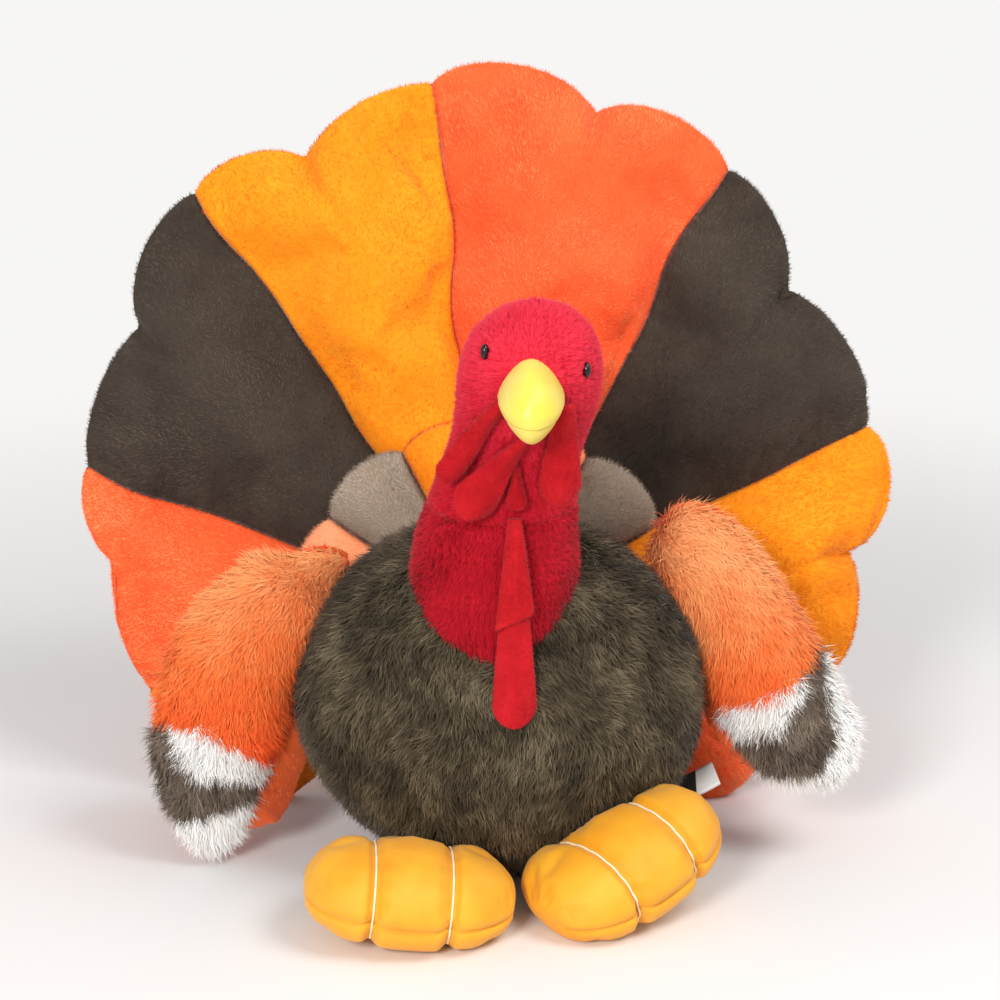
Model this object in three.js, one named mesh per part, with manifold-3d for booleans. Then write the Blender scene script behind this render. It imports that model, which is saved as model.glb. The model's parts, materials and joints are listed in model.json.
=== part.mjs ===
// A stuffed plush turkey that stands on a table, about 51 cm wide and 45 cm high.
// Millimetres, +Z up. The turkey looks along -Y, and the origin is the middle of its footprint.
import * as THREE from 'three';
import { mergeVertices } from 'three/addons/utils/BufferGeometryUtils.js';
import Module from 'manifold-3d';

const wasm = await Module();
wasm.setup();

// Driving dimensions
const bodyWidth = 240;
const bodyDepth = 208;
const bodyHeight = 216;
const bodySink = 5; // how far the round body is pressed flat by what it stands on
const bodyWall = 8; // fur cloth with its pile
const basePanelRadius = 30;
const basePanelThickness = 3;
const pelletBagHeight = 46; // top of the pellet bag above the table
const seamGap = 0.3; // between pieces that are sewn or pressed together
const runningGap = 0.4; // between pieces that move against each other
const cutOverrun = 20; // how far cutting solids run past what they cut

const headWidth = 80;
const headTopHeight = 355;
const headWall = 6;
const beakLength = 52; // from inside the head to the tip
const beakWidth = 36;
const beakHeight = 43;
const beakDrop = 5; // how much lower the tip is than the root
const beakRootDepth = 98; // in front of the body's middle
const beakSide = 16.5; // the head leans to the right by this much at the beak
const mouthDrop = 9; // from the beak's middle down to the mouth seam
const eyeRadius = 5;
const eyeSpread = 54; // from eye to eye
const eyeRoll = 5; // one eye is higher and the other lower by this much
const eyeDepth = 105;
const eyeSide = 19; // halfway between the eyes

const feltThickness = 3;
const snoodLength = 118;
const snoodLean = 12; // how far the lower end stands in front of the top
const snoodSide = 8;
const snoodTopWidth = 7;
const snoodEndRadius = 12.5;
const snoodUpperLength = 62;
const snoodUpperWidth = 21;
const snoodUpperSlant = 9;

const fanRadius = 253; // about half the fan's width
const fanHubHeight = 112; // along the fan, above the table
const fanHubHole = 10;
const fanSide = -6;
const fanLean = 12; // degrees, backwards
const fanEdge = 4; // thickness at a seam
const fanFrontBulge = 18;
const fanBackBulge = 12;
const fanLobeRise = 16; // how far a full round lobe of the rim stands out past its ends
const smallFanRadius = 126;
const smallFanScallop = 9;
const smallFanEdge = 4;
const smallFanBulge = 13;
const fanLayerGap = 0.6;
const tailPress = 2.5; // how far the small fan is pressed into the back
const tailPivotHeight = 40; // the seam the whole tail bends about

const footWidth = 119;
const footLength = 94;
const footHeight = 54;
const footSink = 3; // pressed flat on the table
const footSeamHeight = 22;
const toeGroove = 6;
const threadRadius = 0.8;
const threadLift = 0.9; // from the groove's bottom to the thread
const footLeftSide = -57;
const footLeftDepth = 65; // the left heel in front of the body's middle
const footRightSide = 49;
const footRightDepth = 42;

const wingThickness = 46;
const wingHeight = 176; // from the table to the shoulder
const wingSpan = 172; // from the body's middle to the tip

const tagLength = 25;
const tagWidth = 17;
const tagThickness = 1;
const tagHeight = 50;
const tagTilt = -35; // degrees

// Worked out from the driving dimensions
const neckJointShare = 0.6535; // of the head's height
const snoodTopShare = 0.6676;
const beakRootShare = 0.876;
const eyeShare = 0.921;
const neckJointHeight = neckJointShare * headTopHeight;
const snoodTopHeight = snoodTopShare * headTopHeight;
const beakRootHeight = beakRootShare * headTopHeight;
const eyeHeight = eyeShare * headTopHeight;
const bodyMiddle = bodyHeight / 2 - bodySink;
const tailHubDepth = bodyDepth / 2 + fanEdge / 2 + fanLayerGap + smallFanEdge - tailPress;
const leanAngle = THREE.MathUtils.degToRad(fanLean);
const tailDepth = tailHubDepth - fanHubHeight * Math.sin(leanAngle);
const wholeSize = bodyWidth + bodyDepth + headTopHeight + 2 * fanRadius;

// Counts
const bodyAround = 36;
const bodyHigh = 20;
const coreAround = 24;
const coreHigh = 12;
const neckAround = 24;
const fanColumns = 8;
const fanInnerRows = 3;
const fanOuterRows = 4;
const footAround = 12;
const threadSteps = 6;
const threadAround = 5;
const wingAround = 7;
const feltAround = 8;

// Shapes of the soft forms, as shares, powers and degrees
const rimRoundShare = 0.85; // near 1 gives round lobes with sharp notches
const acrossFullShare = 0.7;
const rimFullPower = 6;
const footEndPower = 2.4;
const toeGrooveShare = 0.36; // of half the foot's width
const toeGrooveWidthShare = 0.07;
const toeRiseShare = 0.22; // how much higher the toes are than the heel
const threadDegrees = [-35, 160];
const footSweepDegrees = [-3, 0, 4, 8, 12];
const wingSweepDegrees = [0, 9, 18, 27, 35];
const wingEndShare = 0.985;
const furGapShare = 0.75; // of the seam gap, between the middle of a wing and each of its faces
const shoulderShare = 0.06;

// Materials
function cloth(colour, roughness) {
  return new THREE.MeshStandardMaterial({ color: colour, roughness, metalness: 0 });
}
const brownFur = cloth(0x5b5044, 0.95);
const taupePlush = cloth(0x6a5f55, 0.9);
const brownPlush = cloth(0x4b423a, 0.92);
const amberPlush = cloth(0xff9a12, 0.88);
const orangePlush = cloth(0xff5f2a, 0.88);
const orangeFur = cloth(0xff7a3c, 0.95);
const whiteFur = cloth(0xf6f1ea, 0.95);
const orangeLining = cloth(0xf06a24, 0.85);
const redPlush = cloth(0xd8142c, 0.9);
const redFelt = cloth(0xd31a22, 0.92);
const yellowKnit = cloth(0xf7c52b, 0.8);
const beakKnit = cloth(0xf5dc4a, 0.6);
const threadWhite = cloth(0xf3e9cf, 0.8);
const eyeBlack = cloth(0x1c0d0d, 0.25);
const baseFelt = cloth(0x54493e, 0.9);
const bagCloth = cloth(0xcfc8ba, 0.9);
const filling = cloth(0xf4f2ee, 0.95);
const tagSatin = cloth(0xf2f2f0, 0.6);

// Turns a closed geometry into a solid that can be cut
function solidOf(geometry) {
  const bare = new THREE.BufferGeometry();
  bare.setAttribute('position', geometry.getAttribute('position').clone());
  if (geometry.index) bare.setIndex(geometry.index.clone());
  const merged = mergeVertices(bare, 1e-4);
  return new wasm.Manifold(new wasm.Mesh({
    numProp: 3,
    vertProperties: new Float32Array(merged.getAttribute('position').array),
    triVerts: new Uint32Array(merged.index.array),
  }));
}

// Turns a solid back into a geometry
function geometryOf(solid) {
  const mesh = solid.getMesh();
  const geometry = new THREE.BufferGeometry();
  geometry.setAttribute('position', new THREE.BufferAttribute(mesh.vertProperties, mesh.numProp));
  geometry.setIndex(new THREE.BufferAttribute(mesh.triVerts, 1));
  return geometry;
}

// Takes each of the other geometries away from the first
function cut(geometry, ...others) {
  let solid = solidOf(geometry);
  for (const other of others) solid = solid.subtract(solidOf(other));
  return geometryOf(solid);
}

// Keeps only what two geometries share
function common(geometry, other) {
  return geometryOf(solidOf(geometry).intersect(solidOf(other)));
}

// Closes rings of points into a skin. An end is a point where the first or last entry is one point.
function loft(rings) {
  const points = [];
  const faces = [];
  const starts = [];
  for (const ring of rings) {
    starts.push(points.length);
    points.push(...ring);
  }
  const join = (a, b) => {
    const near = rings[a];
    const far = rings[b];
    const count = Math.max(near.length, far.length);
    for (let i = 0; i < count; i++) {
      const next = (i + 1) % count;
      if (near.length === 1) faces.push(starts[a], starts[b] + next, starts[b] + i);
      else if (far.length === 1) faces.push(starts[a] + i, starts[a] + next, starts[b]);
      else {
        faces.push(starts[a] + i, starts[a] + next, starts[b] + next);
        faces.push(starts[a] + i, starts[b] + next, starts[b] + i);
      }
    }
  };
  for (let k = 0; k + 1 < rings.length; k++) join(k, k + 1);
  const cap = (k, turned) => {
    if (rings[k].length === 1) return;
    const middle = new THREE.Vector3();
    for (const p of rings[k]) middle.add(p);
    points.push(middle.divideScalar(rings[k].length));
    const centre = points.length - 1;
    for (let i = 0; i < rings[k].length; i++) {
      const next = (i + 1) % rings[k].length;
      if (turned) faces.push(centre, starts[k] + next, starts[k] + i);
      else faces.push(centre, starts[k] + i, starts[k] + next);
    }
  };
  cap(0, true);
  cap(rings.length - 1, false);
  const geometry = new THREE.BufferGeometry().setFromPoints(points);
  geometry.setIndex(faces);
  return facingOut(geometry);
}

// Turns the faces over where a closed skin came out inside out
function facingOut(geometry) {
  const at = geometry.getAttribute('position');
  const index = geometry.index.array;
  const a = new THREE.Vector3();
  const b = new THREE.Vector3();
  const c = new THREE.Vector3();
  let volume = 0;
  for (let i = 0; i < index.length; i += 3) {
    a.fromBufferAttribute(at, index[i]);
    b.fromBufferAttribute(at, index[i + 1]);
    c.fromBufferAttribute(at, index[i + 2]);
    volume += a.dot(b.cross(c));
  }
  if (volume >= 0) return geometry;
  const turned = Array.from(index);
  for (let i = 0; i < turned.length; i += 3) {
    const kept = turned[i];
    turned[i] = turned[i + 1];
    turned[i + 1] = kept;
  }
  geometry.setIndex(turned);
  return geometry;
}

// An ellipsoid about a point, with its poles up and down
function ellipsoid(halfX, halfY, halfZ, middle, around, high) {
  const geometry = new THREE.SphereGeometry(1, around, high);
  geometry.rotateX(Math.PI / 2);
  geometry.scale(halfX, halfY, halfZ);
  geometry.translate(middle.x, middle.y, middle.z);
  return geometry;
}

// A block between two heights, wide enough to cut anything here
function slab(low, high) {
  const geometry = new THREE.BoxGeometry(wholeSize, wholeSize, high - low);
  geometry.translate(0, 0, (low + high) / 2);
  return geometry;
}
const underTable = slab(-wholeSize, 0);

// A copy of a geometry turned about an axis through a point
function turnedAbout(geometry, pivot, axis, degrees) {
  const matrix = new THREE.Matrix4().makeTranslation(pivot.x, pivot.y, pivot.z);
  matrix.multiply(new THREE.Matrix4().makeRotationAxis(axis, THREE.MathUtils.degToRad(degrees)));
  matrix.multiply(new THREE.Matrix4().makeTranslation(-pivot.x, -pivot.y, -pivot.z));
  return geometry.clone().applyMatrix4(matrix);
}

// The part: one group for each piece that moves by itself, with its origin at the joint
const turkey = new THREE.Group();
function movingGroup(parent, pivot) {
  const group = new THREE.Group();
  const above = new THREE.Vector3();
  for (let g = parent; g; g = g.parent) above.add(g.position);
  group.position.copy(pivot).sub(above);
  group.userData.pivot = pivot;
  parent.add(group);
  return group;
}
function addPiece(group, name, geometry, material) {
  const pivot = group.userData.pivot ?? new THREE.Vector3();
  const mesh = new THREE.Mesh(geometry.clone().translate(-pivot.x, -pivot.y, -pivot.z), material);
  mesh.name = name;
  group.add(mesh);
}

// Body: a fur cover with a round hole closed by the base panel, a pellet bag and the filling
const bodyCentre = new THREE.Vector3(0, 0, bodyMiddle);
function bodySkin(grow, around, high) {
  const halfX = bodyWidth / 2 + grow;
  const halfY = bodyDepth / 2 + grow;
  const halfZ = bodyHeight / 2 + grow;
  return ellipsoid(halfX, halfY, halfZ, bodyCentre, around, high);
}
const bodyClear = bodySkin(seamGap, bodyAround, bodyHigh);
const bodyClearMoving = bodySkin(runningGap, bodyAround, bodyHigh);

function basePlug(radius, top) {
  const geometry = new THREE.CylinderGeometry(radius, radius, top + cutOverrun, bodyAround);
  geometry.rotateX(Math.PI / 2);
  geometry.translate(0, 0, (top - cutOverrun) / 2);
  return geometry;
}

const bodyGroup = movingGroup(turkey, new THREE.Vector3());
const bodyCavity = bodySkin(-bodyWall, coreAround, coreHigh);
const coverHole = basePlug(basePanelRadius + seamGap, bodyMiddle / 2);
addPiece(
  bodyGroup,
  'body_fur_cover',
  cut(bodySkin(0, bodyAround, bodyHigh), bodyCavity, coverHole, underTable),
  brownFur,
);
addPiece(bodyGroup, 'base_panel', cut(basePlug(basePanelRadius, basePanelThickness), underTable), baseFelt);
const bodyCore = bodySkin(-bodyWall - seamGap, coreAround, coreHigh);
const bagFloor = basePanelThickness + seamGap;
addPiece(bodyGroup, 'pellet_bag', common(bodyCore, slab(bagFloor, pelletBagHeight)), bagCloth);
addPiece(
  bodyGroup,
  'body_filling',
  common(bodyCore, slab(pelletBagHeight + seamGap, wholeSize)),
  filling,
);

// Neck and head: oval rings up one leaning line, each row with
// height, side, depth, half width and half depth
const neckRowShares = [
  [0.42, -0.04, -0.19, 0.375, 0.65],
  [0.465, -0.04, -0.2, 0.55, 0.675],
  [0.535, -0.04, -0.2, 0.612, 0.675],
  [0.605, -0.025, -0.21, 0.575, 0.625],
  [0.675, 0.025, -0.25, 0.52, 0.525],
  [0.738, 0.075, -0.29, 0.475, 0.475],
  [0.789, 0.14, -0.327, 0.47, 0.475],
  [0.845, 0.19, -0.365, 0.5, 0.512],
  [0.901, 0.21, -0.385, 0.5, 0.512],
  [0.952, 0.225, -0.385, 0.425, 0.425],
  [0.986, 0.24, -0.385, 0.26, 0.25],
];
const neckRows = neckRowShares.map(([height, side, depth, halfWidth, halfDepth]) => ({
  z: height * headTopHeight,
  x: side * headWidth,
  y: depth * bodyDepth,
  halfX: halfWidth * headWidth,
  halfY: halfDepth * headWidth,
}));

function neckRowAt(height) {
  let k = 0;
  while (k + 2 < neckRows.length && neckRows[k + 1].z < height) k++;
  const low = neckRows[k];
  const high = neckRows[k + 1];
  const share = (height - low.z) / (high.z - low.z);
  const row = { z: height };
  for (const key of ['x', 'y', 'halfX', 'halfY']) row[key] = low[key] + share * (high[key] - low[key]);
  return row;
}

function ovalRing(row, grow, around) {
  const ring = [];
  for (let i = 0; i < around; i++) {
    const angle = (2 * Math.PI * i) / around;
    const x = row.x + (row.halfX + grow) * Math.cos(angle);
    const y = row.y + (row.halfY + grow) * Math.sin(angle);
    ring.push(new THREE.Vector3(x, y, row.z));
  }
  return ring;
}

// The head's skin from a height up to its crown, grown or shrunk by a length
function headSkin(from, grow, around) {
  const crown = headTopHeight + 2 * Math.min(grow, 0);
  const rows = [neckRowAt(from), ...neckRows.filter((row) => row.z > from && row.z < crown)];
  const rings = rows.map((row) => ovalRing(row, grow, around));
  const last = rows.at(-1);
  rings.push([new THREE.Vector3(last.x, last.y, headTopHeight + grow)]);
  return loft(rings);
}

// The neck and bib's skin from the bib's lowest ring up to a height
function neckSkin(to) {
  const rows = [...neckRows.filter((row) => row.z < to), neckRowAt(to)];
  return loft(rows.map((row) => ovalRing(row, 0, neckAround)));
}

addPiece(bodyGroup, 'neck_and_bib', cut(neckSkin(neckJointHeight - seamGap), bodyClear), redPlush);

const neckAxis = neckRowAt(neckJointHeight);
const headGroup = movingGroup(turkey, new THREE.Vector3(neckAxis.x, neckAxis.y, neckJointHeight));
const headClear = headSkin(neckJointHeight - cutOverrun, seamGap, neckAround);
const headCavity = headSkin(neckJointHeight - cutOverrun, -headWall, neckAround / 2);
const headCore = common(
  headSkin(neckJointHeight - cutOverrun, -headWall - seamGap, neckAround / 2),
  slab(neckJointHeight, wholeSize),
);

// Eyes: beads half sunk in the cover
function eyeBead(side, grow) {
  const radius = eyeRadius + grow;
  const middle = new THREE.Vector3(eyeSide + (side * eyeSpread) / 2, -eyeDepth, eyeHeight - side * eyeRoll);
  return ellipsoid(radius, radius, radius, middle, coreHigh, coreHigh / 2);
}
const eyeSockets = [-1, 1].map((side) => eyeBead(side, seamGap));
addPiece(
  headGroup,
  'head_cover',
  cut(headSkin(neckJointHeight, 0, neckAround), headCavity, ...eyeSockets),
  redPlush,
);
addPiece(headGroup, 'head_filling', cut(headCore, ...eyeSockets), filling);
addPiece(headGroup, 'eye_left', eyeBead(-1, 0), eyeBlack);
addPiece(headGroup, 'eye_right', eyeBead(1, 0), eyeBlack);

// Beak: a blunt stuffed cone, sewn from an upper and a lower piece that meet at the mouth
const beakRingShares = [
  [0, 1],
  [0.35, 1],
  [0.6, 0.93],
  [0.8, 0.76],
  [0.93, 0.48],
];
function beakSkin(grow) {
  const rings = beakRingShares.map(([along, size]) => {
    const ring = [];
    for (let i = 0; i < coreAround; i++) {
      const angle = (2 * Math.PI * i) / coreAround;
      const x = beakSide + ((beakWidth / 2) * size + grow) * Math.cos(angle);
      const z = beakRootHeight - beakDrop * along + ((beakHeight / 2) * size + grow) * Math.sin(angle);
      ring.push(new THREE.Vector3(x, -beakRootDepth - beakLength * along, z));
    }
    return ring;
  });
  rings.push([new THREE.Vector3(beakSide, -beakRootDepth - beakLength - grow, beakRootHeight - beakDrop)]);
  return loft(rings);
}
const mouthHeight = beakRootHeight - mouthDrop;
const beak = cut(beakSkin(0), headClear);
addPiece(headGroup, 'beak_upper', common(beak, slab(mouthHeight + seamGap, wholeSize)), beakKnit);
addPiece(headGroup, 'beak_lower', common(beak, slab(-wholeSize, mouthHeight)), beakKnit);
const beakClear = beakSkin(seamGap);

// Felt pieces: flat lobes that hang from their top edge
function lobe(length, topWidth, endRadius) {
  const shape = new THREE.Shape();
  shape.moveTo(-topWidth / 2, 0);
  shape.lineTo(-endRadius, endRadius - length);
  shape.absarc(0, endRadius - length, endRadius, Math.PI, 2 * Math.PI, false);
  shape.lineTo(topWidth / 2, 0);
  shape.closePath();
  return shape;
}

// Stands a flat shape up in front of its hanging point, one layer or more forward,
// rolled sideways and leaned
function hungFelt(shape, layer, place, roll, lean) {
  const geometry = new THREE.ExtrudeGeometry(shape, {
    depth: feltThickness,
    steps: 1,
    bevelEnabled: false,
    curveSegments: feltAround,
  });
  geometry.translate(0, 0, layer * (feltThickness + seamGap));
  geometry.rotateX(Math.PI / 2);
  geometry.rotateY(THREE.MathUtils.degToRad(roll));
  geometry.rotateX(THREE.MathUtils.degToRad(lean));
  geometry.translate(place.x, place.y, place.z);
  return geometry;
}

// Wattles: side, drop and depth of the hanging point from the beak's root, then length,
// top width and end radius, all as shares of the head's width; roll and lean in degrees
const wattleShares = {
  wattle_left: [-0.106, 0.4, 0.0875, 0.6, 0.11, 0.15],
  wattle_left_fold: [-0.244, 0.1, 0.18, 0.69, 0.1, 0.1],
  wattle_right: [0.22, 0.1375, 0.1625, 0.675, 0.15, 0.144],
  wattle_middle: [-0.094, 0.6125, -0.02, 0.24, 0.05, 0.0625],
};
const wattleTurns = {
  wattle_left: [35, 8],
  wattle_left_fold: [30, 23],
  wattle_right: [2, 12],
  wattle_middle: [0, 0],
};
for (const [name, shares] of Object.entries(wattleShares)) {
  const [side, drop, depth, length, topWidth, endRadius] = shares.map((share) => share * headWidth);
  const [roll, lean] = wattleTurns[name];
  const place = new THREE.Vector3(beakSide + side, -beakRootDepth - depth, beakRootHeight - drop);
  const felt = hungFelt(lobe(length, topWidth, endRadius), 0, place, roll, lean);
  addPiece(headGroup, name, cut(felt, headClear, beakClear), redFelt);
}

// Snood: two felt strips sewn together at the throat, that swing forward as one
const throat = neckRowAt(snoodTopHeight);
const snoodTop = new THREE.Vector3(snoodSide, throat.y - throat.halfY - seamGap, snoodTopHeight);
const snoodAngle = -THREE.MathUtils.radToDeg(Math.atan2(snoodLean, snoodLength));
const snoodGroup = movingGroup(headGroup, snoodTop);
const snoodLowerShape = lobe(snoodLength, snoodTopWidth, snoodEndRadius);
addPiece(snoodGroup, 'snood_lower', hungFelt(snoodLowerShape, 0, snoodTop, 0, snoodAngle), redFelt);
const snoodUpperShape = new THREE.Shape();
snoodUpperShape.moveTo(-snoodTopWidth / 2, 0);
snoodUpperShape.lineTo(-snoodUpperWidth / 2, -snoodUpperLength);
snoodUpperShape.lineTo(snoodUpperWidth / 2, snoodUpperSlant - snoodUpperLength);
snoodUpperShape.lineTo(snoodTopWidth / 2, 0);
snoodUpperShape.closePath();
addPiece(snoodGroup, 'snood_upper', hungFelt(snoodUpperShape, 1, snoodTop, 0, snoodAngle), redFelt);

// Tail: two fans of padded wedges round one hub. In the fan's own frame x is sideways,
// z runs up the fan and y points backwards through it.
const tailPivotDepth = tailDepth + tailPivotHeight * Math.tan(leanAngle);
const tailGroup = movingGroup(turkey, new THREE.Vector3(0, tailPivotDepth, tailPivotHeight));
const toTail = new THREE.Matrix4().makeTranslation(0, tailDepth, 0);
toTail.multiply(new THREE.Matrix4().makeRotationX(-leanAngle));
const fromTail = toTail.clone().invert();
const bodyInTail = bodyClear.clone().applyMatrix4(fromTail);
const tableInTail = underTable.clone().applyMatrix4(fromTail);

// Seams round the hub, in degrees from sideways, and the cloth of the panel after each
const fanSeamDegrees = [-42, -10, 28, 63, 96, 124, 159, 192, 222];
const fanCloths = [
  orangePlush, amberPlush, brownPlush, orangePlush, amberPlush, brownPlush, orangePlush, amberPlush,
];
const smallFanCloths = [
  orangePlush, amberPlush, taupePlush, orangePlush, amberPlush, taupePlush, orangePlush, amberPlush,
];

// The rim of the large fan: its reach from the hub at each seam, and for each panel the
// reach at the notch in its rim and how far across the panel that notch is
const seamReachShares = [0.68, 0.86, 1.055, 1.265, 1.34, 1.29, 1.075, 0.87, 0.68];
const notchReachShares = [0.755, 0.91, 1.107, 1.289, 1.239, 1.14, 0.96, 0.76];
const notchPlaceShares = [0.5, 0.545, 0.566, 0.485, 0.536, 0.446, 0.35, 0.5];
const lobeRiseShares = [
  [0.4, 0.4], [0.4, 1], [0.6, 0.65], [0.85, 1], [0.5, 0.7], [0.75, 0.35], [0.5, 0.1], [0.2, 0.4],
];

// A round lobe from 0 through 1 back to 0
function roundLobe(share) {
  const across = 2 * share - 1;
  const low = Math.sqrt(1 - rimRoundShare);
  return (Math.sqrt(1 - rimRoundShare * across * across) - low) / (1 - low);
}

// How far across a panel a column is, and the rim's reach there
function rimColumn(index, column) {
  const half = fanColumns / 2;
  const place = notchPlaceShares[index];
  const onFirst = column <= half;
  const along = onFirst ? column / half : column / half - 1;
  const share = onFirst ? place * along : place + (1 - place) * along;
  const notch = notchReachShares[index];
  const ends = onFirst ? [seamReachShares[index], notch] : [notch, seamReachShares[index + 1]];
  const reach = fanRadius * THREE.MathUtils.lerp(ends[0], ends[1], along);
  const rise = fanLobeRise * lobeRiseShares[index][onFirst ? 0 : 1];
  return { share, reach: reach + rise * roundLobe(along) };
}
function smallRim(column) {
  const half = fanColumns / 2;
  const along = column <= half ? column / half : column / half - 1;
  const seamRise = column === 0 || column === fanColumns ? smallFanScallop / 2 : 0;
  return smallFanRadius - smallFanScallop * (1 - roundLobe(along)) + seamRise;
}

// How full a panel is: 0 at its seams and its rim, near 1 in its middle
function fullness(across, along) {
  return Math.sin(Math.PI * across) ** acrossFullShare * Math.sqrt(along) * (1 - along ** rimFullPower);
}

// One padded wedge from its rows of points, each point a place and the two faces' depths
function wedge(rows) {
  const points = [];
  const faces = [];
  const columns = rows[0].length;
  const face = (key) => {
    const first = points.length;
    for (const row of rows) {
      for (const p of row) points.push(new THREE.Vector3(p.x, p[key], p.z));
    }
    return first;
  };
  const front = face('front');
  const back = face('back');
  const quad = (a, b, c, d) => faces.push(a, b, c, a, c, d);
  for (let i = 0; i + 1 < rows.length; i++) {
    for (let j = 0; j + 1 < columns; j++) {
      const a = i * columns + j;
      const b = a + 1;
      const c = b + columns;
      const d = a + columns;
      quad(front + a, front + b, front + c, front + d);
      quad(back + a, back + d, back + c, back + b);
    }
  }
  const rim = [];
  for (let j = 0; j < columns; j++) rim.push(j);
  for (let i = 1; i < rows.length; i++) rim.push(i * columns + columns - 1);
  for (let j = columns - 2; j >= 0; j--) rim.push((rows.length - 1) * columns + j);
  for (let i = rows.length - 2; i > 0; i--) rim.push(i * columns);
  for (let k = 0; k < rim.length; k++) {
    const next = rim[(k + 1) % rim.length];
    quad(front + rim[k], back + rim[k], back + next, front + next);
  }
  const geometry = new THREE.BufferGeometry().setFromPoints(points);
  geometry.setIndex(faces);
  return facingOut(geometry);
}

// A point of the fan, moved off its seam by half a gap where it is on one
function fanPoint(angle, reach, share) {
  const aside = share === 0 ? seamGap / 2 : share === 1 ? -seamGap / 2 : 0;
  return {
    x: fanSide + reach * Math.cos(angle) - aside * Math.sin(angle),
    z: fanHubHeight + reach * Math.sin(angle) + aside * Math.cos(angle),
  };
}

function fanPanel(index, small) {
  const [from, to] = [fanSeamDegrees[index], fanSeamDegrees[index + 1]].map(THREE.MathUtils.degToRad);
  const rows = [];
  const rowCount = small ? fanInnerRows : fanInnerRows + fanOuterRows;
  for (let i = 0; i <= rowCount; i++) {
    const row = [];
    for (let j = 0; j <= fanColumns; j++) {
      const { share, reach: outer } = rimColumn(index, j);
      const angle = from + share * (to - from);
      const inner = smallRim(j);
      const reach = i <= fanInnerRows
        ? fanHubHole + ((inner - fanHubHole) * i) / fanInnerRows
        : inner + ((outer - inner) * (i - fanInnerRows)) / fanOuterRows;
      const full = fullness(share, (reach - fanHubHole) / (outer - fanHubHole));
      const largeFront = -fanEdge / 2 - fanFrontBulge * full;
      const p = fanPoint(angle, reach, share);
      if (small) {
        p.back = largeFront - fanLayerGap;
        p.front = p.back - smallFanEdge - smallFanBulge * fullness(share, i / fanInnerRows);
      } else {
        p.front = largeFront;
        p.back = fanEdge / 2 + fanBackBulge * full;
      }
      row.push(p);
    }
    rows.push(row);
  }
  return cut(wedge(rows), bodyInTail, tableInTail).applyMatrix4(toTail);
}
for (let k = 0; k < fanCloths.length; k++) {
  addPiece(tailGroup, `large_fan_panel_${k + 1}`, fanPanel(k, false), fanCloths[k]);
}
for (let k = 1; k + 1 < smallFanCloths.length; k++) {
  addPiece(tailGroup, `small_fan_panel_${k}`, fanPanel(k, true), smallFanCloths[k]);
}

// Feet: rows of toes, fullest at their front, with a groove drawn in by a thread between toes
const toeStationShares = [
  -0.97, -0.88, -0.76, -0.62, -0.48, -0.4, -0.36, -0.32, -0.24, -0.12, 0,
];
toeStationShares.push(...toeStationShares.slice(0, -1).reverse().map((share) => -share));
function footRing(share, grow, angles) {
  const fullEnd = (1 - Math.abs(share) ** footEndPower) ** (1 / footEndPower);
  const away = (Math.abs(share) - toeGrooveShare) / toeGrooveWidthShare;
  const drawn = toeGroove * Math.exp(-away * away);
  const halfLength = (footLength / 2) * fullEnd - drawn + grow;
  const halfHeight = (footHeight / 2) * fullEnd - drawn / 2 + grow;
  return angles.map((angle) => {
    const y = -footLength / 2 - halfLength * Math.cos(angle);
    const z = footHeight / 2 + halfHeight * Math.sin(angle) * (1 + toeRiseShare * Math.cos(angle));
    return new THREE.Vector3((share * footWidth) / 2, y, z);
  });
}
function footSkin() {
  const turn = [];
  for (let i = 0; i < footAround; i++) turn.push((2 * Math.PI * i) / footAround);
  const rings = toeStationShares.map((share) => footRing(share, 0, turn));
  const end = (side) => [new THREE.Vector3((side * footWidth) / 2, -footLength / 2, footHeight / 2)];
  return loft([end(-1), ...rings, end(1)]);
}

// A thread drawn over the groove between two toes, from the table side up over the front
function toeThread(side) {
  const angles = [];
  for (let i = 0; i <= threadSteps; i++) {
    angles.push(THREE.MathUtils.degToRad(threadDegrees[0] + (threadDegrees[1] * i) / threadSteps));
  }
  const clear = threadRadius + threadLift;
  const path = new THREE.CatmullRomCurve3(footRing(side * toeGrooveShare, clear, angles));
  const section = new THREE.Shape();
  section.absarc(0, 0, threadRadius, 0, 2 * Math.PI, false);
  return new THREE.ExtrudeGeometry(section, {
    steps: 2 * threadSteps,
    bevelEnabled: false,
    extrudePath: path,
    curveSegments: threadAround,
  });
}

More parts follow.
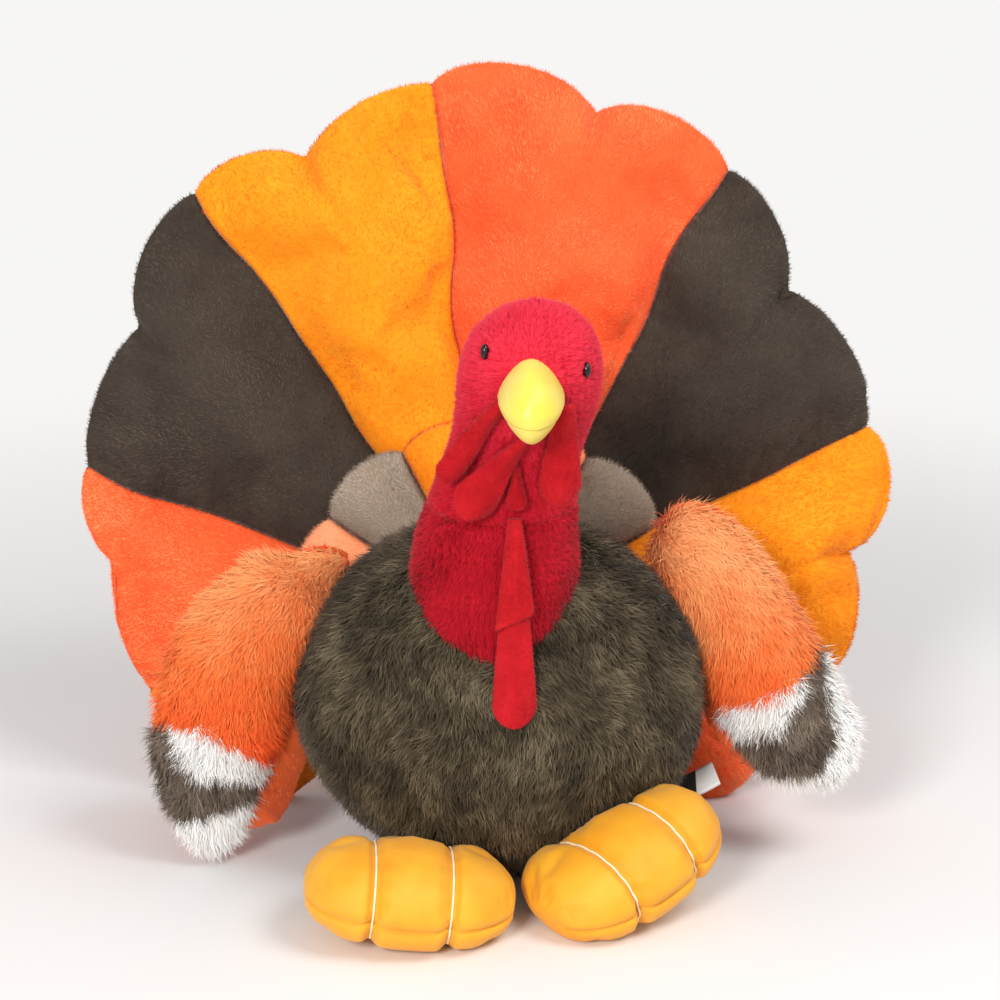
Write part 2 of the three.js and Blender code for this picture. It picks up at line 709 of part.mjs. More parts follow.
// Where each heel is sewn under the body, how far its toes turn and roll, and which way is out
const feet = [
  { side: 'left', x: footLeftSide, y: -footLeftDepth, turn: 4, roll: -6.5, out: -1 },
  { side: 'right', x: footRightSide, y: -footRightDepth, turn: 36, roll: 21, out: 1 },
];
const upAxis = new THREE.Vector3(0, 0, 1);
const upperFoot = common(footSkin(), slab(footSeamHeight + seamGap, wholeSize));
const soleOfFoot = common(footSkin(), slab(-wholeSize, footSeamHeight));
for (const foot of feet) {
  const heel = new THREE.Vector3(foot.x, foot.y, 0);
  const group = movingGroup(turkey, heel);
  const bodies = footSweepDegrees.map((turn) => (
    turnedAbout(bodyClearMoving, heel, upAxis, -foot.out * turn)
  ));
  const rolled = soleOfFoot.clone().rotateY(THREE.MathUtils.degToRad(-foot.roll));
  rolled.computeBoundingBox();
  const lift = -footSink - rolled.boundingBox.min.z;
  const placed = (geometry) => cut(
    geometry
      .rotateY(THREE.MathUtils.degToRad(-foot.roll))
      .translate(0, 0, lift)
      .rotateZ(THREE.MathUtils.degToRad(foot.turn))
      .translate(heel.x, heel.y, 0),
    ...bodies,
    underTable,
  );
  addPiece(group, `foot_${foot.side}_upper`, placed(upperFoot.clone()), yellowKnit);
  addPiece(group, `foot_${foot.side}_sole`, placed(soleOfFoot.clone()), yellowKnit);
  addPiece(group, `foot_${foot.side}_thread_1`, placed(toeThread(-1)), threadWhite);
  addPiece(group, `foot_${foot.side}_thread_2`, placed(toeThread(1)), threadWhite);
}

// Wings: a flipper of fur in front and lining behind. Each row has the middle line's side,
// depth and height, half the width and half the thickness, as shares of the wing's span,
// span, height, span and thickness, then how far the lining stands out past the fur on the
// body's side and how far the row slants down towards it, as shares of the span and the width.
const wingRowShares = {
  left: [
    [0.488, 0.15, 1, 0.175, 0.3, 0, 0],
    [0.61, 0.116, 0.977, 0.209, 0.43, 0, 0],
    [0.72, 0.07, 0.88, 0.22, 0.5, 0, 0],
    [0.89, 0.017, 0.705, 0.235, 0.5, 0, 0.1],
    [0.97, -0.04, 0.511, 0.235, 0.43, 0.03, 0.3],
    [1.02, -0.07, 0.36, 0.2, 0.36, 0.09, 0.5],
    [1.03, -0.093, 0.25, 0.16, 0.28, 0.13, 0.6],
    [1.027, -0.11, 0.13, 0.1, 0.18, 0.1, 0.6],
    [1.02, -0.116, 0.04, 0, 0, 0, 0],
  ],
  right: [
    [0.488, 0.15, 1.03, 0.175, 0.3, 0, 0],
    [0.64, 0.087, 1.017, 0.215, 0.43, 0, 0],
    [0.783, 0.058, 0.885, 0.2, 0.5, 0, 0],
    [0.89, 0.023, 0.693, 0.215, 0.5, 0, 0],
    [0.985, -0.017, 0.528, 0.21, 0.43, 0, 0],
    [1.06, -0.04, 0.41, 0.19, 0.36, 0, 0],
    [1.1, -0.052, 0.33, 0.13, 0.25, 0, 0],
    [1.115, -0.058, 0.27, 0, 0, 0, 0],
  ],
};
const wingPieceShares = [
  ['fur', 0, 0.655, 4],
  ['white_band', 0.655, 0.745, 2],
  ['brown_band', 0.745, 0.86, 2],
  ['tip_fur', 0.86, 1, 3],
];

function wingLine(rowShares, out) {
  const points = rowShares.map(([side, depth, height]) => new THREE.Vector3(
    out * side * wingSpan,
    depth * wingSpan,
    height * wingHeight,
  ));
  const line = new THREE.CatmullRomCurve3(points);
  line.arcLengthDivisions = 200;
  const last = rowShares.length - 1;
  const sizeAt = (share, column, full) => {
    const t = line.getUtoTmapping(share) * last;
    const k = Math.min(Math.floor(t), last - 1);
    return full * THREE.MathUtils.lerp(rowShares[k][column], rowShares[k + 1][column], t - k);
  };
  return { line, sizeAt, out, length: line.getLength() };
}

// A half ring of the flipper: face 1 is the front half and face -1 the back half
function wingRing(wing, share, face) {
  const middle = wing.line.getPointAt(share);
  const along = wing.line.getTangentAt(share);
  const front = new THREE.Vector3(0, -1, 0);
  front.addScaledVector(along, -front.dot(along)).normalize();
  const across = new THREE.Vector3().crossVectors(along, front);
  const halfWidth = wing.sizeAt(share, 3, wingSpan);
  const halfThick = wing.sizeAt(share, 4, wingThickness);
  const wider = face < 0 ? wing.sizeAt(share, 5, wingSpan) : 0;
  across.addScaledVector(along, wing.out * wing.sizeAt(share, 6, 1));
  const ring = [];
  for (let i = 0; i <= wingAround; i++) {
    const angle = (Math.PI * i) / wingAround;
    const reach = halfWidth + (wing.out * Math.cos(angle) > 0 ? wider : 0);
    ring.push(middle.clone()
      .addScaledVector(across, reach * Math.cos(angle))
      .addScaledVector(front, face * (furGapShare * seamGap + halfThick * Math.sin(angle))));
  }
  return ring;
}
function wingPiece(wing, shares, face) {
  return loft(shares.map((share) => wingRing(wing, share, face)));
}

// Stations along one fur piece, drawn in by half a gap where it meets the next
function bandShares(wing, from, to, steps) {
  const start = from === 0 ? 0 : from + seamGap / 2 / wing.length;
  const end = to === 1 ? wingEndShare : to - seamGap / 2 / wing.length;
  const shares = [];
  for (let i = 0; i <= steps; i++) shares.push(start + ((end - start) * i) / steps);
  return shares;
}

const backAxis = new THREE.Vector3(0, 1, 0);
for (const [side, rowShares] of Object.entries(wingRowShares)) {
  const out = side === 'left' ? -1 : 1;
  const wing = wingLine(rowShares, out);
  const shoulder = wing.line.getPointAt(shoulderShare);
  const group = movingGroup(turkey, shoulder);
  const bodies = wingSweepDegrees.map((turn) => (
    turnedAbout(bodyClearMoving, shoulder, backAxis, out * turn)
  ));
  const allShares = [];
  for (const [name, from, to, steps] of wingPieceShares) {
    const shares = bandShares(wing, from, to, steps);
    allShares.push(...(to === 1 ? shares : shares.slice(0, -1)));
    const piece = cut(wingPiece(wing, shares, 1), ...bodies, underTable);
    const material = { white_band: whiteFur, brown_band: brownFur, tip_fur: whiteFur }[name] ?? orangeFur;
    addPiece(group, `wing_${side}_${name}`, piece, material);
  }
  const lining = cut(wingPiece(wing, allShares, -1), ...bodies, underTable);
  addPiece(group, `wing_${side}_lining`, lining, orangeLining);
}

// Sewn-in tag: a blank satin ribbon in the side seam
const tagRise = (tagHeight - bodyMiddle) / (bodyHeight / 2);
const tagRoot = (bodyWidth / 2) * Math.sqrt(1 - tagRise * tagRise);
const tag = new THREE.BoxGeometry(tagLength, tagThickness, tagWidth);
tag.rotateX(THREE.MathUtils.degToRad(tagTilt));
tag.translate(tagRoot + tagLength / 2 - tagThickness, 0, tagHeight);
addPiece(bodyGroup, 'sewn_tag', cut(tag, bodyClear), tagSatin);

export default turkey;
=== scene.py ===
"""Looks of a stuffed plush turkey: fur body, scalloped fan tail, fur wings, red head, padded feet."""
import json
import math

import bmesh
import bpy
import numpy as np
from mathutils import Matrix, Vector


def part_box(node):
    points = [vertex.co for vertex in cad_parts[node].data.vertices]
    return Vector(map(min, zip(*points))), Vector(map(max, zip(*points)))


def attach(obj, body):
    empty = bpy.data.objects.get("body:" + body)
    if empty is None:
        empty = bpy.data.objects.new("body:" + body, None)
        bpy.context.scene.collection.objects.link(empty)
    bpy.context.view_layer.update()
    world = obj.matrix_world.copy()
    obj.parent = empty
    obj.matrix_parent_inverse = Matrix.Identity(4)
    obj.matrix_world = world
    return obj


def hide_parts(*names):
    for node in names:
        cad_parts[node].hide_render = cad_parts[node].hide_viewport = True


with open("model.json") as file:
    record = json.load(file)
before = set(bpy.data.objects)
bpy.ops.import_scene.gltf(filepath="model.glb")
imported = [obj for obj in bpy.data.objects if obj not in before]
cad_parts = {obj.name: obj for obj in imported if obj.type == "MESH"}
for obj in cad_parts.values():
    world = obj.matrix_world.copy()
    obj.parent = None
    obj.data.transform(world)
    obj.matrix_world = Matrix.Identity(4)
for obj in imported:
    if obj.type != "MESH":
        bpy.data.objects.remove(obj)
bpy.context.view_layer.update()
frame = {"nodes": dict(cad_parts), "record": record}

# Lengths are in metres. Angles are in radians, or in degrees where a comment or docstring says so
MM = 0.001
SEAM_GAP = 0.3 * MM
SOFT_GAP = 0.4 * MM  # from the body to what lies against it
WELD = 0.02 * MM  # points this near each other are one
DOWN = (0, 0, -1)


def corners(node):
    """The low and the high corner of a CAD node's box."""
    return [np.array(corner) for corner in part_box(node)]


# Body
body_low, body_high = corners("body_fur_cover")
BODY_SINK = 5 * MM
BODY_HALF = np.append((body_high - body_low)[:2] / 2, (body_high[2] + BODY_SINK) / 2)
BODY_CENTRE = np.array([0, 0, body_high[2] - BODY_HALF[2]])
BODY_PILE = 5 * MM  # how far the cloth lies below the middle of its pile
BODY_LUMPS = 0.8 * MM
COAT_SPLIT = 25 * MM  # depth at which the front coats end and the rear one begins
HUB_BARE = 45 * MM  # radius round the hub in which the fan hides the body

# Head
HEAD_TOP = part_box("head_cover")[1].z
HEAD_WIDTH = 80 * MM
NECK_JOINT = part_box("head_cover")[0].z
HEAD_PILE = 2.2 * MM  # how far the cloth lies below the ends of its pile

# Beak
BEAK_HALF = (18 * MM, 21.5 * MM)
BEAK_LENGTH = 52 * MM
BEAK_ROOT = np.array([16.5 * MM, -98 * MM, 0.876 * HEAD_TOP])
BEAK_DROP = 5 * MM
MOUTH_BOW = 4.0  # rise of the mouth for each square metre of side, per metre
MOUTH = BEAK_ROOT[2] - 11 * MM
MOUTH_GAP = 0.4 * MM
BEAK_TAPER = (0.36, 0.26)  # how far the beak is drawn in below and above its widest line
BEAK_COVERS = np.array([16, 19]) * MM  # half width and half height of the face behind the beak
BEAK_COVERS_HEIGHT = 309 * MM

# Tail
TAIL_LEAN = math.radians(12)
HUB_HEIGHT = 112 * MM
HUB_HOLE = 3.5 * MM
FAN_RADIUS = 253 * MM
FAN_SIDE = -6 * MM
FAN_EDGE = 4 * MM
FAN_FRONT = 27 * MM
FAN_BACK = 12 * MM
FAN_LAYER_GAP = 0.6 * MM
SMALL_RADIUS = 126 * MM
SMALL_LOBE = 3 * MM  # how far the small lobes reach past that radius
SMALL_SCALLOP = 9 * MM
SMALL_PRESS = 1.5 * MM  # how far the small panels press into the large ones
SMALL_EDGE = 4 * MM
SMALL_FRONT = 13 * MM
TAIL_PRESS = 2.5 * MM
HUB_DEPTH = BODY_HALF[1] + FAN_EDGE / 2 + FAN_LAYER_GAP + SMALL_EDGE - TAIL_PRESS
TAIL_DEPTH = HUB_DEPTH - HUB_HEIGHT * math.sin(TAIL_LEAN)
FAN_SEAMS = np.radians([-42, -10, 28, 63, 96, 124, 159, 192, 222])
SMALL_SEAMS = np.radians([-42, -10, 31, 60, 90, 117, 146, 192, 222])
FAN_PRESSURE = 6  # of the filling on the cloth, in the simulation's unit
FAN_SWELL = 9 * MM  # furthest that the filling moves a point
SEAM_REACH = FAN_RADIUS * np.array([0.68, 0.86, 1.055, 1.265, 1.34, 1.29, 1.075, 0.87, 0.68])
NOTCH_REACH = FAN_RADIUS * np.array([0.755, 0.91, 1.107, 1.289, 1.239, 1.14, 0.96, 0.76])
NOTCH_PLACE = np.array([0.5, 0.545, 0.566, 0.485, 0.536, 0.446, 0.35, 0.5])
LOBE_RISE = 16 * MM * np.array([
    [0.4, 0.4], [0.4, 1], [0.6, 0.65], [0.85, 1], [0.5, 0.7], [0.75, 0.35], [0.5, 0.1], [0.2, 0.4],
])
PUCKERING = [1, 1.2, 1.8, 0.8, 1, 1.3, 1, 1]  # how strongly each large panel is gathered
SEAM_OVERLAP = 0.35 * MM  # how far neighbouring panels press into each other
SEAM_WANDER = math.radians(0.9)  # how far the seams stray from straight lines

# Feet
FOOT_WIDTH = 119 * MM
FOOT_LENGTH = 94 * MM
FOOT_HEIGHT = 54 * MM
FOOT_SINK = 3 * MM
FOOT_PRESSURE = 5
FOOT_SWELL = 5 * MM
FOOT_SEAM = -0.16  # angle of the seam round a section, in radians
TOE_GROOVE = 6 * MM
THREAD_RADIUS = 0.6 * MM
THREAD_LIFT = 0.1 * MM
GROOVE_SHARE = 0.36  # place of the toe grooves in half widths of the foot
GROOVE_WIDTH = 0.06  # in half widths of the foot
FEET = {  # turn and roll in degrees
    "left": dict(heel=(-57 * MM, -65 * MM), turn=4, roll=-6.5),
    "right": dict(heel=(49 * MM, -42 * MM), turn=36, roll=21),
}

# Wings
WING_SPAN = 172 * MM
WING_HEIGHT = 176 * MM
WING_THICKNESS = 46 * MM
WING_PILE = 5 * MM  # how far the cloth lies below the ends of its pile

# Tag
TAG_LENGTH = 24 * MM
TAG_WIDTH = 17 * MM
TAG_FOLD = 0.5 * MM  # radius of its fold
TAG_CLOTH = 0.3 * MM
TAG_RISE = 28  # in degrees
TAG_TURN = -58  # in degrees
TAG_MOVED = np.array([4, -6, -2]) * MM  # from where the CAD tag lies
TAG_STRIP_END = 117 * MM  # side at which the dark strip by the body ends


# Arrays and meshes
def smoothed(rows, t):
    """A smooth line through the rows: on each stretch the cubic whose slope at a row is half the
    step from the row before it to the row after it. t counts rows and may be an array."""
    rows = np.asarray(rows, float)
    padded_rows = np.concatenate([2 * rows[:1] - rows[1:2], rows, 2 * rows[-1:] - rows[-2:-1]])
    k = np.clip(np.floor(t).astype(int), 0, len(rows) - 2)
    f = (np.asarray(t) - k)[..., None]
    a, b, c, d = (padded_rows[k + i] for i in range(4))
    return b + f * (c - a) / 2 + f**2 * (a - 2.5 * b + 2 * c - d / 2) + f**3 * (1.5 * (b - c) + (d - a) / 2)


def evenly(rows, shares):
    """The smoothed line at shares of its length, measured on its first three columns."""
    fine = np.linspace(0, len(rows) - 1, 400)
    points = smoothed(rows, fine)[:, :3]
    run = np.append(0, np.cumsum(np.linalg.norm(np.diff(points, axis=0), axis=1)))
    return smoothed(rows, np.interp(np.asarray(shares) * run[-1], run, fine))


def bell(offset, width):
    """exp(-(offset / width)^2): 1 at no offset, falling to 0 past the width."""
    return np.exp(-((offset / width) ** 2))


def whole_turn(count):
    """A row of even angles round a whole turn."""
    return np.linspace(0, 2 * math.pi, count, endpoint=False)[None, :]


def ball(rings, around):
    """Rings of equal angle on a ball without its poles: angles from the top, angles round it and
    directions of the points."""
    fall = np.linspace(0, math.pi, rings + 2)[1:-1][:, None]
    turn = whole_turn(around)
    out = np.stack([np.sin(fall) * np.cos(turn), np.sin(fall) * np.sin(turn), np.cos(fall) + 0 * turn], -1)
    return fall, turn, out


def unit(vectors):
    """Vectors brought to length 1."""
    return vectors / np.maximum(np.linalg.norm(vectors, axis=-1, keepdims=True), 1e-9)


def turned(points, axis, angle):
    """Points turned about a row axis through the origin, by the right-hand rule, angle in radians."""
    i, j = [(1, 2), (2, 0), (0, 1)][axis]
    made = points.copy()
    made[..., i] = points[..., i] * math.cos(angle) - points[..., j] * math.sin(angle)
    made[..., j] = points[..., i] * math.sin(angle) + points[..., j] * math.cos(angle)
    return made


def on_table(points):
    """Points below the table moved up to it."""
    made = points.copy()
    made[..., 2] = np.maximum(made[..., 2], 0)
    return made


def seated(points):
    """Points inside the body, grown by the soft gap, moved out from its middle to its skin, and
    points below the table moved up to it."""
    from_middle = points - BODY_CENTRE
    inside = np.linalg.norm(from_middle / (BODY_HALF + SOFT_GAP), axis=-1, keepdims=True)
    return on_table(BODY_CENTRE + from_middle / np.where(inside < 1, np.maximum(inside, 0.05), 1))


def placed(name, data):
    """A new object of the scene, at the origin."""
    made = bpy.data.objects.new(name, data)
    bpy.context.scene.collection.objects.link(made)
    return made


def faced_outwards(mesh, welded=False):
    """Turns a mesh's faces outwards, if asked after welding points that are nearly one."""
    work = bmesh.new()
    work.from_mesh(mesh)
    if welded:
        bmesh.ops.remove_doubles(work, verts=work.verts, dist=WELD)
        bmesh.ops.dissolve_degenerate(work, edges=work.edges, dist=WELD / 2)
    bmesh.ops.recalc_face_normals(work, faces=work.faces)
    work.to_mesh(mesh)
    work.free()


def read(items, name, kind=float):
    """Three numbers of each of a mesh's items, as rows."""
    values = np.empty(len(items) * 3, kind)
    items.foreach_get(name, values)
    return values.reshape(-1, 3)


def new_mesh(name, points, faces):
    """A mesh object at the origin from arrays of points and faces, smooth shaded, faces outwards."""
    mesh = bpy.data.meshes.new(name)
    mesh.from_pydata(np.reshape(points, (-1, 3)).tolist(), [], faces)
    faced_outwards(mesh, welded=True)
    mesh.polygons.foreach_set("use_smooth", np.ones(len(mesh.polygons), bool))
    return placed(name, mesh)


def grid_faces(rows, columns, closed, start=0):
    """Quads of a grid of points in rows, each row closed into a ring or open."""
    i = np.arange(rows - 1)[:, None]
    j = np.arange(columns if closed else columns - 1)[None, :]
    n = (j + 1) % columns
    quads = np.stack([i * columns + j, i * columns + n, (i + 1) * columns + n, (i + 1) * columns + j], -1)
    return (quads.reshape(-1, 4) + start).tolist()


def closed_skin(name, rings):
    """A skin through rings of points, closed at both ends onto the middle of the end rings."""
    count, around = rings.shape[:2]
    faces = grid_faces(count, around, True)
    ring, after = np.arange(around), (np.arange(around) + 1) % around
    first, last = np.full(around, count * around), (count - 1) * around
    faces += np.stack([after, ring, first], -1).tolist()
    faces += np.stack([last + ring, last + after, first + 1], -1).tolist()
    ends = np.stack([rings[0].mean(0), rings[-1].mean(0)])
    return new_mesh(name, np.concatenate([rings.reshape(-1, 3), ends]), faces)


def two_faced(name, front, back):
    """A pad whose front and back grids share their outer edge."""
    rows, columns = front.shape[:2]
    faces = grid_faces(rows, columns, False) + grid_faces(rows, columns, False, rows * columns)
    return new_mesh(name, np.concatenate([front.reshape(-1, 3), back.reshape(-1, 3)]), faces)


def dress(made, body, slot, material, stands_for=(), fill=None):
    """Gives a piece its material and its CAD body, and hides the CAD nodes it stands for. Its slot
    is not used.
    """
    made.data.materials.clear()
    made.data.materials.append(material)
    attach(made, body)
    if stands_for:
        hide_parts(*stands_for)
    return made


# Filling
SIMULATED_FRAMES = 20
CLOTH_SETTINGS = dict(
    quality=6, mass=0.1, use_pressure=True, vertex_group_mass="pinned", tension_stiffness=12,
    compression_stiffness=12, shear_stiffness=4, bending_stiffness=0.05, shrink_min=-0.06,
)


def filled_out(grids, pinned, pressure, most):
    """Cloth filled from inside: grids of points whose shared edges are welded are blown up by a
    cloth simulation while pinned points stay, and each point moves by at most a length."""
    flat = np.concatenate([grid.reshape(-1, 3) for grid in grids])
    held = np.concatenate([pin.reshape(-1) for pin in pinned])
    cells = np.round(flat / WELD).astype(np.int64)
    _, first, which = np.unique(cells, axis=0, return_index=True, return_inverse=True)
    which = which.ravel()
    faces, start = [], 0
    for grid in grids:
        rows, columns = grid.shape[:2]
        quads = which[np.array(grid_faces(rows, columns, False, start))]
        faces += [list(dict.fromkeys(quad)) for quad in quads.tolist()]
        start += rows * columns
    mesh = bpy.data.meshes.new("filled_out")
    mesh.from_pydata(flat[first].tolist(), [], [face for face in faces if len(face) > 2])
    faced_outwards(mesh)
    cloth_object = placed("filled_out", mesh)
    pins = np.zeros(len(first), bool)
    np.logical_or.at(pins, which, held)
    group = cloth_object.vertex_groups.new(name="pinned")
    group.add(np.flatnonzero(pins).tolist(), 1.0, "REPLACE")
    cloth = cloth_object.modifiers.new("cloth", "CLOTH")
    for key, value in CLOTH_SETTINGS.items():
        setattr(cloth.settings, key, value)
    cloth.settings.uniform_pressure_force = pressure
    cloth.settings.effector_weights.gravity = 0
    cloth.collision_settings.use_collision = False
    cloth.point_cache.frame_start = 1
    cloth.point_cache.frame_end = SIMULATED_FRAMES
    for frame_number in range(1, SIMULATED_FRAMES + 1):
        bpy.context.scene.frame_set(frame_number)
    shown = cloth_object.evaluated_get(bpy.context.evaluated_depsgraph_get()).data
    moved = read(shown.vertices, "co")[which] - flat
    bpy.context.scene.frame_set(1)
    bpy.data.objects.remove(cloth_object)
    far = np.linalg.norm(moved, axis=1, keepdims=True)
    moved *= np.minimum(1, most / np.maximum(far, 1e-9))
    parts = np.split(flat + moved, np.cumsum([grid.shape[0] * grid.shape[1] for grid in grids])[:-1])
    return [part.reshape(grid.shape) for part, grid in zip(parts, grids)]


def finer(grid, rows, columns):
    """A grid of points read at more places, straight between its own rows and columns."""
    for count in (rows, columns):
        at = np.linspace(0, len(grid) - 1, count)
        low = np.minimum(at.astype(int), len(grid) - 2)
        grid = grid[low] + (at - low)[:, None, None] * (grid[low + 1] - grid[low])
        grid = grid.swapaxes(0, 1)
    return grid


def eased(grid):
    """A grid of moves, each inner one drawn halfway to the mean of its four neighbours."""
    made = grid.copy()
    inner = (grid[:-2, 1:-1] + grid[2:, 1:-1] + grid[1:-1, :-2] + grid[1:-1, 2:]) / 4
    made[1:-1, 1:-1] = (grid[1:-1, 1:-1] + inner) / 2
    return made


# Pile
def drift(points, wave, seed):
    """A smooth wandering direction at each point: in each axis the mean of three sine waves of about
    the given length, each along a direction of its own."""
    rng = np.random.default_rng(seed)
    total = np.zeros_like(points)
    for _ in range(3):
        ways = unit(rng.normal(size=(3, 3))) * 2 * math.pi / (wave * (0.7 + 0.6 * rng.random()))
        total += np.sin(points @ ways + rng.uniform(0, 2 * math.pi, 3))
    return total / 3


def skin_samples(skins, count, seed, keep=None):
    """Random points spread evenly over some meshes by the area of their triangles, with their
    normals. keep(points, normals) may drop some."""
    rng = np.random.default_rng(seed)
    sets = []
    for skin in skins:
        mesh = skin.data
        mesh.calc_loop_triangles()
        used = read(mesh.loop_triangles, "vertices", np.int32)
        sets.append([read(mesh.vertices, "co")[used], read(mesh.vertex_normals, "vector")[used]])
    corner, slope = (np.concatenate([each[k] for each in sets]) for k in (0, 1))
    area = np.linalg.norm(np.cross(corner[:, 1] - corner[:, 0], corner[:, 2] - corner[:, 0]), axis=1)
    pick = np.searchsorted(np.cumsum(area) / area.sum(), rng.random(count)).clip(0, len(area) - 1)
    u, v = rng.random((2, count, 1))
    over = u + v > 1
    u, v = np.where(over, 1 - u, u), np.where(over, 1 - v, v)
    points, normal = (
        three[pick, 0] + u * (three[pick, 1] - three[pick, 0]) + v * (three[pick, 2] - three[pick, 0])
        for three in (corner, slope)
    )
    normal = unit(normal)
    if keep is not None:
        kept = keep(points, normal)
        points, normal = points[kept], normal[kept]
    return points, normal, rng


BLADE_JOINT = 0.52  # share of its length at which a bent blade has its joint


def pile(name, skins, worn, count, length, width, comb, lift, seed, keep=None, stray=0.3,
         bent=True, swirl=0.3, tuft=0.0):
    """Hairs rooted on skins, with the body and material that they wear; the slot passed with them
    is not used. Each is a blade tapered to a point that leaves the skin at the lift angle, in
    degrees, along the comb direction, which wanders by the swirl and strays at random. A bent blade
    has a joint and droops past it.
    The tips of hairs with their roots in one cell of tuft size lean to the middle of that cell."""
    roots, normal, rng = skin_samples(skins, count, seed, keep)
    count = len(roots)
    flow = comb(roots) if callable(comb) else np.broadcast_to(np.asarray(comb, float), roots.shape)
    flow = unit(flow) + swirl * drift(roots, 45 * MM, seed)
    flow = unit(flow - (flow * normal).sum(1, keepdims=True) * normal)
    flow = unit(flow + stray * rng.normal(size=roots.shape))
    up = np.radians(lift) + 0.2 * rng.normal(size=(count, 1))
    growth = unit(np.cos(up) * flow + np.sin(up) * normal)
    long = length * (0.7 + 0.45 * rng.random((count, 1)))
    half = width * (0.7 + 0.6 * rng.random((count, 1))) / 2
    side = unit(np.cross(growth, normal))
    roll = 0.5 * rng.normal(size=(count, 1))
    side = unit(np.cos(roll) * side + np.sin(roll) * np.cross(growth, side))
    tone = rng.random(count)
    lean = np.zeros_like(roots)
    if tuft:
        cells = np.floor((roots + 0.6 * tuft * drift(roots, 3 * tuft, seed + 1)) / tuft).astype(int)
        which = np.unique(cells, axis=0, return_inverse=True)[1].ravel()
        members = np.bincount(which)
        middle = np.stack([np.bincount(which, roots[:, k]) for k in range(3)], 1) / members[:, None]
        lean = 0.6 * (middle[which] - roots)
        tone = 0.55 * tone + 0.45 * rng.random(len(members))[which]
    base = roots - 0.4 * MM * normal
    points = [base - side * half, base + side * half]
    if bent:
        joint = roots + BLADE_JOINT * long * growth + 0.3 * lean
        droop = unit(growth + 0.4 * flow - 0.25 * normal)
        tip = joint + (1 - BLADE_JOINT) * long * droop + 0.7 * lean
        points += [joint - 0.8 * side * half, joint + 0.8 * side * half, tip]
        shape, along = [(0, 1, 3), (0, 3, 2), (2, 3, 4)], [0, 0, BLADE_JOINT, BLADE_JOINT, 1]
    else:
        points.append(roots + long * growth + lean)
        shape, along = [(0, 1, 2)], [0, 0, 1]
    points = np.stack(points, 1)
    points[..., 2] = np.maximum(points[..., 2], 0.2 * MM)
    each = points.shape[1]
    faces = (np.array(shape)[None] + each * np.arange(count)[:, None, None]).reshape(-1, 3)
    mesh = bpy.data.meshes.new(name)
    mesh.vertices.add(count * each)
    mesh.vertices.foreach_set("co", points.reshape(-1))
    mesh.loops.add(faces.size)
    mesh.loops.foreach_set("vertex_index", faces.reshape(-1).astype(np.int32))
    mesh.polygons.add(len(faces))
    mesh.polygons.foreach_set("loop_start", np.arange(0, faces.size, 3, dtype=np.int32))
    mesh.update(calc_edges=True)
    mesh.polygons.foreach_set("use_smooth", np.ones(len(faces), bool))
    for label, values in (("tone", np.repeat(tone, each)), ("along", np.tile(along, count))):
        mesh.attributes.new(label, "FLOAT", "POINT").data.foreach_set("value", values.astype(np.float32))
    soft = unit(normal + 0.3 * np.cross(side, growth) + 0.1 * rng.normal(size=roots.shape))
    mesh.normals_split_custom_set_from_vertices(np.repeat(soft, each, axis=0).tolist())
    return dress(placed(name, mesh), *worn)


# Materials
def linear(code):
    """A written web colour as the linear numbers that shaders take."""
    share = np.array([int(code[i:i + 2], 16) for i in (1, 3, 5)]) / 255
    value = np.where(share <= 0.04045, share / 12.92, ((share + 0.055) / 1.055) ** 2.4)
    return (*value, 1.0)


class Nodes:
    """A node tree whose nodes are added and linked by short calls."""

    def __init__(self, owner):
        """The tree of a new material or world."""
        owner.use_nodes = True
        self.nodes, self.links = owner.node_tree.nodes, owner.node_tree.links

    def feed(self, node, inputs):
        """Links a node's inputs to outputs or sets them to values."""
        for key, value in dict(inputs).items():
            if isinstance(value, bpy.types.NodeSocket):
                self.links.new(value, node.inputs[key])
            else:
                node.inputs[key].default_value = value
        return node

    def node(self, kind, inputs=(), **settings):
        """A new node with its settings and inputs."""
        made = self.nodes.new(kind)
        for key, value in settings.items():
            setattr(made, key, value)
        return self.feed(made, inputs)


